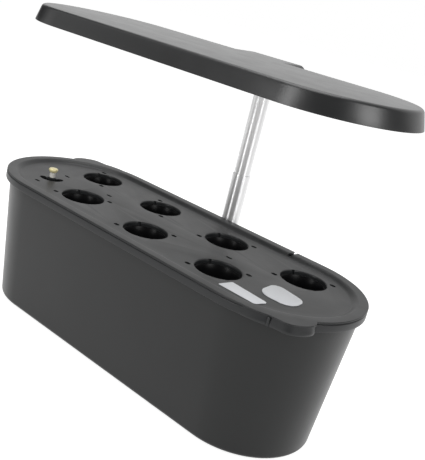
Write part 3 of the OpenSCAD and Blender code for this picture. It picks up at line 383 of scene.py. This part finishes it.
rows = staggered_rows()
grid_of = lattice()
placed = at_places()
print("node trees:", [group.name for group in bpy.data.node_groups])

# %% Spread a piece by a tree
def spread(name, group, piece, finish, **values):
    carrier = new_object(name, bpy.data.meshes.new(name))
    pattern = carrier.modifiers.new("pattern", "NODES")
    pattern.node_group = group
    values.update({"Piece": piece, "Finish": finish})
    for item in group.interface.items_tree:
        if item.in_out == "INPUT":
            pattern[item.identifier] = values[item.name]
    evaluated(carrier)
    bpy.data.objects.remove(piece)
    return carrier

# %% [markdown]
# ## The tank
# The tank is one deep injection moulding. Its walls lean outward so that it leaves the
# mould, and the base turns up through a soft radius. An oval sweep gives it inside and
# out in one go: the profile goes up the outer wall, over a rounded rim and down inside.
# Its radius follows from the deck's, since the wall runs up inside the deck's skirt.

# %% The tank
END_X = 110
RIM = 70
SKIRT = 111.0

def tank_radius(z, inset=3.8, lean=5.5):
    return RIM - inset - (SKIRT - z) * math.tan(math.radians(lean))

def tank_profile(base=1.6, top=116.0, wall=2.4, inner=4.2, edge=3.5, rim=0.5):
    outer = arc(tank_radius(base + edge) - edge, base + edge, edge, -90, 0, 10)
    lip = arc(tank_radius(top) - rim, top - rim, rim, 0, 90, 5)
    mouth = arc(tank_radius(top) - wall + rim, top - rim, rim, 90, 180, 5)
    floor = arc(tank_radius(inner + edge) - wall - edge, inner + edge, edge, 0, -90, 10)
    heights = [base + edge + (top - rim - base - edge) * i / 8 for i in range(1, 8)]
    outside = [(tank_radius(z), z) for z in heights]
    inside = [(tank_radius(z) - wall, z) for z in reversed(heights)]
    return outer + outside + lip + mouth + inside + floor

tank = oval_sweep("tank_moulding", END_X, tank_profile(), tank_abs)
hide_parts("tank_shell")
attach(tank, "base")
print("tank:", len(tank.data.polygons), "faces")

# %% [markdown]
# ## The deck
# The deck is the most worked piece. Its sheet starts as an oval sweep: planting floor,
# sloped wall, flat lip, rounded edge with a fine groove under it, and a skirt that hangs
# over the tank. Sockets are welded on below and openings cut through, each by one boolean
# with the whole pattern at once. The cutter for a planting hole flares at the top, so
# every hole gets the rounded mouth that the mould gives it.

# %% The deck's sheet
DECK_FLOOR = 115.5
LIP_TOP = 118.5
WALL = 2.2

def lip_edge(radius, edge=0.5, groove=0.7, flat=0.3, depths=(0.95, 1.2, 1.75)):
    # A short flat before the rounded edge keeps its shading off the wide lip.
    bead_end, groove_top, groove_end = [LIP_TOP - depth for depth in depths]
    bead = [(radius - edge - flat, LIP_TOP)] + arc(radius - edge, LIP_TOP - edge, edge, 90, 0, 5)
    return bead + [(radius, bead_end), (radius - groove, groove_top), (radius - groove, groove_end)]

def deck_profile(inner=50, slope_foot=57, slope_run=6, shoulder_top=1.8, bulge=0.85, hem=0.3):
    rise = LIP_TOP - DECK_FLOOR
    shares = [i / 10 for i in range(11)]
    wave = [(slope_foot + slope_run * t, rise * (3 * t ** 2 - 2 * t ** 3)) for t in shares]
    slope = [(radius, DECK_FLOOR + lift) for radius, lift in wave]
    under = [(radius, DECK_FLOOR - WALL + lift) for radius, lift in reversed(wave)]
    shoulder = arc(RIM - bulge, LIP_TOP - shoulder_top - bulge, bulge, 80, 0, 5)
    hem_outside = arc(RIM - hem, SKIRT + hem, hem, 0, -90, 3)
    hem_inside = arc(RIM - WALL + hem, SKIRT + hem, hem, -90, -180, 3)
    return ([(inner, DECK_FLOOR)] + slope + lip_edge(RIM) + shoulder + [(RIM, SKIRT + 2)]
            + hem_outside + hem_inside + [(RIM - WALL, LIP_TOP - WALL)] + under
            + [(inner, DECK_FLOOR - WALL)])

deck = oval_sweep("deck_moulding", END_X, deck_profile(), deck_abs)
print("deck sheet:", len(deck.data.polygons), "faces")

# %% [markdown]
# A finger tab is a lobe that swells out of the rim at one corner and, turned by half a
# circle, at the opposite one. Its edge is a list of reaches beyond the rim, given along
# the arc, with a smooth curve through them. Each reach gives one cross-section, a
# hook of the same wall as the deck. A small upright rib stands out of the tab's skirt
# where the lobe starts to swell.

# %% The finger tab's edge
TAB_MIDDLE = -47
TAB_SPREAD = 30
TAB_REACH = 10
TAB = [(-1, -0.08), (-0.75, 0.14), (-0.55, 0.26), (-0.4, 0.33), (-0.33, 0.37), (-0.2, 0.63), (-0.1, 0.87),
       (0, 1), (0.1, 0.99), (0.2, 0.93), (0.3, 0.81), (0.4, 0.62), (0.48, 0.34), (0.55, -0.08)]

def between(a, b, c, d, t):
    # A Catmull-Rom curve: it runs from b to c, and a and d steer its ends.
    return 0.5 * (2 * b + (c - a) * t + (2 * a - 5 * b + 4 * c - d) * t * t
                  + (3 * b - a - 3 * c + d) * t ** 3)

def smooth_through(knots, steps=6):
    path = [knots[0]] + knots + [knots[-1]]
    points = []
    for i in range(1, len(path) - 2):
        near = path[i - 1:i + 3]
        points += [tuple(between(*values, k / steps) for values in zip(*near)) for k in range(steps)]
    return points + [knots[-1]]

def round_end(share, turn, radius):
    angle = math.radians(TAB_MIDDLE + TAB_SPREAD * share + turn)
    side = END_X if turn == 0 else -END_X
    return side + radius * math.cos(angle), TANK_Y + radius * math.sin(angle)

# %% The deck's finger tabs
def tab_hook(outer, root=68.4, least=0.02):
    depth = outer - root
    inner = max(outer - WALL, root + least)
    edge = lip_edge(outer, min(0.5, depth * 0.5), min(1.1, depth * 0.7))
    skirt = [(outer - 0.15, SKIRT + 2.2), (outer, SKIRT + 1.6), (outer, SKIRT + 0.3), (outer - 0.2, SKIRT)]
    inside = [(inner, SKIRT), (inner, LIP_TOP - WALL), (root, LIP_TOP - WALL)]
    return [(root, LIP_TOP)] + edge + skirt + inside

def finger_tab(name, turn):
    sections = []
    for share, reach in smooth_through(TAB):
        hook = tab_hook(RIM + TAB_REACH * reach)
        sections.append([(*round_end(share, turn, radius), z) for radius, z in hook])
    return skin(name, sections, deck_abs)

def tab_rib(turn, share=-0.36, reach=3.3, radius=1.1, top=117.3):
    profile = peg(radius, SKIRT, top, top=0.4)
    return turned("rib", profile, round_end(share, turn, RIM + reach), deck_abs, steps=24)

for turn in (0, 180):
    boolean(deck, finger_tab("tab", turn), "UNION")
    boolean(deck, tab_rib(turn), "UNION")
print("deck with tabs:", len(deck.data.polygons), "faces")

# %% Outlines that go straight up
def prism(name, outline, low, high, material):
    return skin(name, [[(x, y, z) for x, y in outline] for z in (low, high)], material)

def slot_outline(length, width, steps=8):
    half = (length - width) / 2
    turns = [math.radians(-90 + 180 * i / steps) for i in range(steps + 1)]
    right = [(half + width / 2 * math.cos(turn), width / 2 * math.sin(turn)) for turn in turns]
    return right + [(-x, -y) for x, y in right]

def upright_block(name, angle, reach, width, heights, material):
    near, far = reach
    corners = [(near, -width / 2), (far, -width / 2), (far, width / 2), (near, width / 2)]
    cosine = math.cos(angle)
    sine = math.sin(angle)
    outline = [(x * cosine - y * sine, x * sine + y * cosine) for x, y in corners]
    return prism(name, outline, *heights, material)

# %% The deck's sockets and planting holes
HOLE_COUNT = 7
PITCH = 39
ROW = 29
HOLES = [((i - (HOLE_COUNT - 1) / 2) * PITCH, (ROW if i % 2 == 0 else -ROW) + TANK_Y)
         for i in range(HOLE_COUNT)]
ROWS = {"Count": HOLE_COUNT, "Pitch": PITCH * MM, "Row": ROW * MM, "Middle": (0, TANK_Y * MM, 0)}
GAUGE = (-126.995, -24.5 + TANK_Y)
LUGS = [math.radians(150), math.radians(330)]
LEDGE = 107.7
ABOVE = 125

def hole_cutter(bore=16.85, seat=18.15, flare=1.2, low=104):
    wide = seat + flare
    mouth = arc(wide, DECK_FLOOR - flare, flare, 180, 90, 6)
    profile = [(0, low), (bore, low), (bore, LEDGE), (seat, LEDGE)] + mouth + [(wide, ABOVE), (0, ABOVE)]
    cutter = turned("cutter", profile, (0, 0), deck_abs)
    for angle in LUGS:
        keyway = upright_block("keyway", angle, (17.5, wide), 2.6, (LEDGE, 120), deck_abs)
        boolean(cutter, keyway, "UNION")
    return cutter

socket = turned("socket", peg(20.15, 105.5, 114.4, bottom=0.3), (0, 0), deck_abs)
boolean(deck, spread("sockets", rows, socket, deck_abs, **ROWS), "UNION")
guide = turned("guide", peg(4.2, 109.8, 116.3, top=0.3), GAUGE, deck_abs, steps=48)
boolean(deck, guide, "UNION")
boolean(deck, spread("hole_cutters", rows, hole_cutter(), deck_abs, **ROWS), "DIFFERENCE")
print("planting holes:", len(HOLES))

# %% The drains and vents
DRAIN_OUT = 16.546
DRAIN_LEANS = [-1, 1, -1, 1, 1, 1, 1]
CUT_FROM = 110

def places_of(points):
    mesh = bpy.data.meshes.new("places")
    mesh.from_pydata([Vector((x, y, 0)) * MM for x, y in points], [], [])
    return bpy.data.objects.new("places", mesh)

drains = [(x + side * DRAIN_OUT, y + side * lean * DRAIN_OUT)
          for (x, y), lean in zip(HOLES, DRAIN_LEANS) for side in (-1, 1)]
vents = [(-75.9, TANK_Y), (64.9, TANK_Y),
         (GAUGE[0] + 4.2, GAUGE[1] - 19.6), (GAUGE[0] - 1.4, GAUGE[1] + 18.9)]
small = prism("drain", slot_outline(5.2, 3.6), CUT_FROM, ABOVE, deck_abs)
boolean(deck, spread("drains", placed, small, deck_abs, Places=places_of(drains)), "DIFFERENCE")
thin = prism("vent", slot_outline(6.0, 2.7), CUT_FROM, ABOVE, deck_abs)
boolean(deck, spread("vents", placed, thin, deck_abs, Places=places_of(vents)), "DIFFERENCE")
print("slots:", len(drains), "drains,", len(vents), "vents")

# %% The fill slot and the gauge's bore
def fill_outline(inner=5.0, outer=10.9, start=-120, sweep=150):
    end = start + sweep
    width = (outer - inner) / 2
    middle = (inner + outer) / 2
    first = math.radians(start)
    last = math.radians(end)
    outside = arc(0, 0, outer, start, end, 24)
    far = arc(middle * math.cos(last), middle * math.sin(last), width, end, end + 180, 8)[1:-1]
    inside = arc(0, 0, inner, end, start, 24)
    near = arc(middle * math.cos(first), middle * math.sin(first), width, start + 180, start + 360, 8)[1:-1]
    return [(x + GAUGE[0], y + GAUGE[1]) for x, y in outside + far + inside + near]

boolean(deck, prism("fill", fill_outline(), 108, ABOVE, deck_abs), "DIFFERENCE")
boolean(deck, turned("bore", peg(2.55, 105, ABOVE), GAUGE, deck_abs, steps=48), "DIFFERENCE")
print("deck with its bore:", len(deck.data.polygons), "faces")

# %% The notch in the rim
left, right = 80.25, 83.65
front, back = 59.5 + TANK_Y, 75 + TANK_Y
NOTCH_FLOOR = 116.1
notch = [(left, front), (right, front), (right, back), (left, back)]
boolean(deck, prism("notch", notch, NOTCH_FLOOR, ABOVE, deck_abs), "DIFFERENCE")
shade(deck.data)
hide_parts("deck")
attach(deck, "deck")
print("deck:", len(deck.data.polygons), "faces")

# %% [markdown]
# ## The pod collars
# Each planting hole holds a gloss black collar. It hangs on a ledge in the deck and
# guides the seed pod through a sloped mouth. One is turned, two lugs are welded on, which
# sit in the hole's keyways and stop it from turning, and the same node tree that cut the
# deck's holes puts seven in place.

# %% The pod collars
COLLAR_TOP = 112.5

def collar_profile(low=93.5, outer=16.65, flange=17.95, mouth=17.25, throat=15.5, edge=0.3):
    return (arc(outer - edge, low + edge, edge, -90, 0, 3) + [(outer, LEDGE)]
            + arc(flange - edge, LEDGE + edge, edge, -90, 0, 3)
            + arc(flange - edge, COLLAR_TOP - edge, edge, 0, 90, 4)
            + arc(mouth, COLLAR_TOP - edge, edge, 90, 160, 4) + [(throat + 0.05, LEDGE + 0.1)]
            + arc(throat + edge, low + edge, edge, 180, 270, 3))

collar = turned("collar", collar_profile(), (0, 0), collar_abs, closed=True)
for angle in LUGS:
    lug = upright_block("lug", angle, (17.4, 19.15), 2.2, (LEDGE, COLLAR_TOP), collar_abs)
    boolean(collar, lug, "UNION")
collars = spread("pod_collar_set", rows, collar, collar_abs, **ROWS)
shade(collars.data)
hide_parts("pod_collars")
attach(collars, "deck")
print("collars:", len(collars.data.polygons), "faces")

# %% [markdown]
# ## The water gauge
# A white stem stands on the float and carries a cream cap. The cap is a small mushroom,
# widest near its rounded top, so it is turned with fine edges: its highlight is what
# makes it read as glossy.

# %% The water gauge
def cap_profile(bore=2.55, foot=121.0, crown=124.5, edge=1.2):
    waist = [(bore, foot), (3.1, foot), (3.4, foot + 0.5), (4.05, foot + 1.7)]
    return waist + arc(2.9, crown - edge, edge, -10, 90, 8) + [(0, crown)]

stem = turned("gauge_stem", peg(2.5, 80.83, 122.1, top=0.3), GAUGE, white_abs, steps=48)
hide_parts("float_stem")
cap = turned("gauge_cap", cap_profile(), GAUGE, cream_abs, steps=64, sharp=60)
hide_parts("float_cap")
for piece, slot in ((stem, "white_plastic"), (cap, "cream_plastic")):
    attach(piece, "gauge")
print("gauge:", stem.name, cap.name)

# %% [markdown]
# ## The telescopic post
# Two drawn tubes. The mouth of the lower one is rolled in over the upper one, which
# shows as a small rounded lip with a dark line above it.

# %% The telescopic post
POST = (0, 82.0 + TANK_Y)

def lower_profile(low=5.9, high=159.5, outer=8.15, bore=7.55, mouth=7.35, lip=0.7):
    wall = [(bore, low + 3.1), (outer, low), (outer, high - lip - 0.2)]
    inside = [(mouth, high), (mouth, high - 3), (bore, high - 3.5)]
    return wall + arc(outer - lip, high - lip, lip, 0, 90, 6) + inside

def upper_profile(low=81.9, high=258.8, outer=7.3, bore=6.7):
    return [(bore, low), (outer, low), (outer, high), (bore, high)]

lower = turned("lower_post_tube", lower_profile(), POST, tube_chrome, steps=128, closed=True)
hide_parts("lower_tube")
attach(lower, "base")
upper = turned("upper_post_tube", upper_profile(), POST, tube_chrome, steps=128, closed=True)
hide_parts("upper_tube")
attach(upper, "mast")
print("post: two tubes")

# %% [markdown]
# ## Feet and light chips
# Four rubber feet and twenty-four light chips, each one finished piece on a lattice. A
# chip is a cream package with a shallow window that faces down.

# %% The rubber feet
FOOT_SPAN = (281.996, 60.004)

def foot_profile(radius=7.0, height=2.4, edge=0.8, chamfer=0.2):
    sole = [(0, 0)] + arc(radius - edge, edge, edge, -90, 0, 5)
    return sole + [(radius, height - chamfer), (radius - chamfer, height), (0, height)]

foot = turned("foot", foot_profile(), (0, 0), rubber, steps=64)
feet = spread("rubber_foot_set", grid_of, foot, rubber, Columns=2, Rows=2, Width=FOOT_SPAN[0] * MM,
              Depth=FOOT_SPAN[1] * MM, Middle=(0, TANK_Y * MM, 0))
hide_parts("rubber_feet")
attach(feet, "base")
print("feet:", len(feet.data.polygons), "faces")

# %% The light chips
CHIP_SPAN = (206.25, 38.88)

def chip(low=258.4, high=259.2, half_x=1.75, half_y=1.4, corner=0.4, recess=0.15):
    flat_x = half_x - corner
    flat_y = half_y - corner
    outline = [(half_x, -flat_y), (half_x, flat_y), (flat_x, half_y), (-flat_x, half_y),
               (-half_x, flat_y), (-half_x, -flat_y), (-flat_x, -half_y), (flat_x, -half_y)]
    levels = ((0.72, low + recess), (0.8, low), (1, low), (1, high))
    rings = [[(share * x, share * y, z) for x, y in outline] for share, z in levels]
    return skin("chip", rings, cream_abs)

chips = spread("light_chip_set", grid_of, chip(), cream_abs, Columns=12, Rows=2, Width=CHIP_SPAN[0] * MM,
               Depth=CHIP_SPAN[1] * MM, Middle=(0, TANK_Y * MM, 0))
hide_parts("led_chips")
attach(chips, "hood")
print("chips:", len(chips.data.polygons), "faces")

# %% [markdown]
# ## Softened copies
# The light's housing, the housing behind the tank, the covers and the plates keep the
# solid model's shape. Each gets a copy whose flat faces are first joined up again, since
# the model comes in as triangles, and whose sharp edges are then rounded by a bevel with
# the radius that such an edge has. A plate's edge is nearly sharp, a big moulding's soft.

def softened(node, width, material, body, bevel_from=32, sharp_from=42):
    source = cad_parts[node]
    mesh = source.data.copy()
    mesh.name = node + "_soft"
    clean(mesh, merge_mm=0.004, flat_degrees=0.6)
    mesh.materials.clear()
    mesh.materials.append(material)
    piece = new_object(node + "_soft", mesh)
    piece.matrix_world = source.matrix_world
    bevel = piece.modifiers.new("edge", "BEVEL")
    bevel.width = width * MM
    bevel.segments = 3
    bevel.limit_method = "ANGLE"
    bevel.angle_limit = math.radians(bevel_from)
    bevel.use_clamp_overlap = True
    evaluated(piece)
    shade(piece.data, sharp_from)
    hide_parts(node)
    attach(piece, body)
    return piece

# %% The softened pieces
# Each line is a node, its bevel's width in millimetres, its finish and its body.
soft_edges = [
    ("hood_shell", 0.8, hood_abs, "hood"),
    ("rear_housing", 0.6, tank_abs, "base"),
    ("rear_cover", 0.3, inner_abs, "base"),
    ("front_plate", 0.12, plate_film, "deck"),
    ("control_overlay", 0.15, plate_film, "deck"),
    ("control_box", 0.4, inner_abs, "deck"),
    ("hood_cover", 0.4, white_abs, "hood"),
    ("float_cage", 0.3, inner_abs, "deck"),
    ("pivot_bracket", 0.25, inner_abs, "hood"),
    ("dc_jack", 0.25, inner_abs, "base"),
    ("swivel_cap", 0.25, screw_zinc, "mast"),
    ("filter_cap", 0.3, inner_abs, "base"),
    ("pump_body", 0.5, inner_abs, "base"),
    ("pump_end_cap", 0.4, inner_abs, "base"),
]
for node, width, material, body in soft_edges:
    piece = softened(node, width, material, body)
    print("softened", node, len(piece.data.polygons), "faces")

# %% [markdown]
# ## Finishes for the solid model
# The small and hidden pieces stay as the solid model has them: screws, switches, boards
# and most of the pump. Every node gets a finish, also one that a piece above stands for,
# so that nothing is left plain wherever the model is opened up.

# %% Give every node its finish
finishes = [
    (tank_abs, ["tank_shell", "rear_housing"]),
    (deck_abs, ["deck"]),
    (hood_abs, ["hood_shell"]),
    (collar_abs, ["pod_collars"]),
    (plate_film, ["front_plate", "control_overlay"]),
    (inner_abs, ["rear_cover", "dc_jack", "tube_stop", "pump_body", "pump_cover", "pump_end_cap",
                 "pump_spout", "filter_cap", "control_box", "key_switches", "float_cage", "pivot_bracket"]),
    (white_abs, ["slider_bush", "pump_shaft", "pump_impeller", "light_key", "pump_key", "float_body",
                 "float_stem", "hood_cover", "led_board", "light_socket"]),
    (cream_abs, ["float_cap", "led_chips"]),
    (diffuser_pc, ["light_diffuser"]),
    (rubber, ["rubber_feet", "suction_cups", "pump_filter", "rotor_magnet"]),
    (board_green, ["power_board", "control_board"]),
    (tube_chrome, ["lower_tube", "upper_tube"]),
    (screw_zinc, ["housing_screws", "cover_screws", "control_screws", "pivot_screws", "hood_cover_screws",
                  "board_screws", "swivel_cap"]),
    (coil_copper, ["pump_coil"]),
]

dressed = set()
for material, nodes in finishes:
    for node in nodes:
        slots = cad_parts[node].data.materials
        slots.clear()
        slots.append(material)
        dressed.add(node)
print("dressed", len(dressed), "nodes; undressed:", sorted(set(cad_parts) - dressed))

# %% [markdown]
# ## The stage
# The garden stands in a pale studio. The floor is one large plane. Light of its own makes
# it white to the camera and in reflections, and it keeps the garden's soft shadow. The
# world is white behind the garden and through clear pieces, and much dimmer as a lamp, so
# the charcoal stays charcoal.

# %% The floor
FLOOR_REACH = 6.0
FLOOR_GLOW = 0.88

def make_floor():
    material, tree = new_material("pale_floor")
    ray = add(tree, "ShaderNodeLightPath").outputs
    paint = add(tree, "ShaderNodeBsdfDiffuse", {"Color": linear("#b4b4b4")})
    glow = add(tree, "ShaderNodeEmission", {"Color": (1, 1, 1, 1), "Strength": FLOOR_GLOW})
    both = add(tree, "ShaderNodeAddShader", {0: paint.outputs[0], 1: glow.outputs[0]})
    seen = add(tree, "ShaderNodeMath", {
        0: ray["Is Camera Ray"], 1: ray["Is Glossy Ray"]}, operation="MAXIMUM")
    mix = add(tree, "ShaderNodeMixShader", {0: seen.outputs[0], 1: paint.outputs[0], 2: both.outputs[0]})
    add(tree, "ShaderNodeOutputMaterial", {"Surface": mix.outputs[0]})
    mesh = bpy.data.meshes.new("floor")
    corners = [(x * FLOOR_REACH, y * FLOOR_REACH, 0) for x, y in ((-1, -1), (1, -1), (1, 1), (-1, 1))]
    mesh.from_pydata(corners, [], [(0, 1, 2, 3)])
    mesh.materials.append(material)
    floor = new_object("floor", mesh)

make_floor()
print("floor:", 2 * FLOOR_REACH, "m square")

# %% [markdown]
# What a reflection finds is a third thing. A studio holds pale walls, flags and openings,
# and satin plastic shows them as soft bands: without them every moulding looks flat. Two
# lists give the level at each compass bearing in degrees, counted from +X towards +Y, one
# for the room just over the horizon and one for what lies higher, with an even change
# from the first to the second. They were set by following what each face reflects.

# %% The world
LOW = [(-180, 0.0), (-168, 0.3), (-158, 1.0), (-143, 1.0), (-133, 0.5), (-126, 0.0), (-111, 0.0), (-103, 1.0),
       (-86, 1.0), (-74, 0.2), (-40, 0.2), (-26, 1.0), (5, 1.0), (22, 0.4), (46, 0.4), (64, 1.0), (150, 1.0),
       (160, 0.0)]
HIGH = [(-180, 0.1), (-168, 0.3), (-158, 1.0), (-145, 0.9), (-137, 0.35), (-126, 0.1), (-112, 0.1),
        (-100, 0.2), (-81, 0.12), (-55, 0.12), (-40, 0.2), (-22, 0.6), (3, 0.6), (20, 0.2), (33, 0.15),
        (44, 0.5), (56, 1.0), (150, 1.0), (160, 0.2)]

def bands(tree, share, stops):
    # A new ramp has two stops, its ends. Both lie at a bearing of 180 degrees.
    ramp = add(tree, "ShaderNodeValToRGB", {"Fac": share})
    row = ramp.color_ramp.elements
    for end in (1, 0):
        row[end].position = end
        row[end].color = [stops[0][1]] * 3 + [1]
    for bearing, level in stops[1:]:
        row.new((bearing + 180) / 360).color = [level] * 3 + [1]
    return ramp.outputs["Color"]

def make_world(low_end=0.12, high_start=0.26, as_lamp=0.3):
    world = bpy.data.worlds.new("pale_studio")
    world.use_nodes = True
    tree = world.node_tree
    tree.nodes.clear()
    ray = add(tree, "ShaderNodeLightPath").outputs
    place = add(tree, "ShaderNodeTexCoord").outputs["Generated"]
    axes = add(tree, "ShaderNodeSeparateXYZ", {0: place}).outputs
    turn = add(tree, "ShaderNodeMath", {0: axes["Y"], 1: axes["X"]}, operation="ARCTAN2")
    share = add(tree, "ShaderNodeMapRange", {
        "Value": turn.outputs[0], "From Min": -math.pi, "From Max": math.pi}).outputs["Result"]
    height = add(tree, "ShaderNodeMapRange", {
        "Value": axes["Z"], "From Min": low_end, "From Max": high_start})
    mirrored = add(tree, "ShaderNodeMix", {
        "Factor": height.outputs["Result"], "A": bands(tree, share, LOW), "B": bands(tree, share, HIGH)})
    lit = add(tree, "ShaderNodeMix", {
        "Factor": ray["Is Glossy Ray"], "A": as_lamp, "B": mirrored.outputs["Result"]})
    seen = add(tree, "ShaderNodeMath", {
        0: ray["Is Camera Ray"], 1: ray["Is Transmission Ray"]}, operation="MAXIMUM")
    strength = add(tree, "ShaderNodeMix", {"Factor": seen.outputs[0], "A": lit.outputs["Result"], "B": 1.0})
    sky = add(tree, "ShaderNodeBackground", {"Color": (1, 1, 1, 1), "Strength": strength.outputs["Result"]})
    add(tree, "ShaderNodeOutputWorld", {"Surface": sky.outputs[0]})
    bpy.context.scene.world = world

make_world()
bpy.context.scene.view_settings.view_transform = "Standard"
print("world:", bpy.context.scene.world.name)

# %% [markdown]
# ## Lamps
# One wide lamp overhead gives the soft shadow. Two smaller soft boxes stand at the front
# and at the right, where the hood's rounded side and its right end mirror them.

# %% Lamps
def soft_lamp(name, place_mm, aim_mm, size_mm, watts):
    data = bpy.data.lights.new(name, "AREA")
    data.shape = "RECTANGLE"
    data.size = size_mm[0] * MM
    data.size_y = size_mm[1] * MM
    data.energy = watts
    lamp = new_object(name, data)
    lamp.location = Vector(place_mm) * MM
    lamp.rotation_euler = (Vector(aim_mm) - Vector(place_mm)).to_track_quat("-Z", "Y").to_euler()
    print("lamp", name, watts, "W")

soft_lamp("top_soft", place_mm=(-200, -100, 1500), aim_mm=(0, 0, 100), size_mm=(1400, 1000), watts=15.0)
soft_lamp("front_box", place_mm=(-75, -650, 470), aim_mm=(110, -79, 257), size_mm=(170, 420), watts=1.8)
soft_lamp("right_box", place_mm=(890, -150, 560), aim_mm=(165, -50, 257), size_mm=(360, 420), watts=3.0)
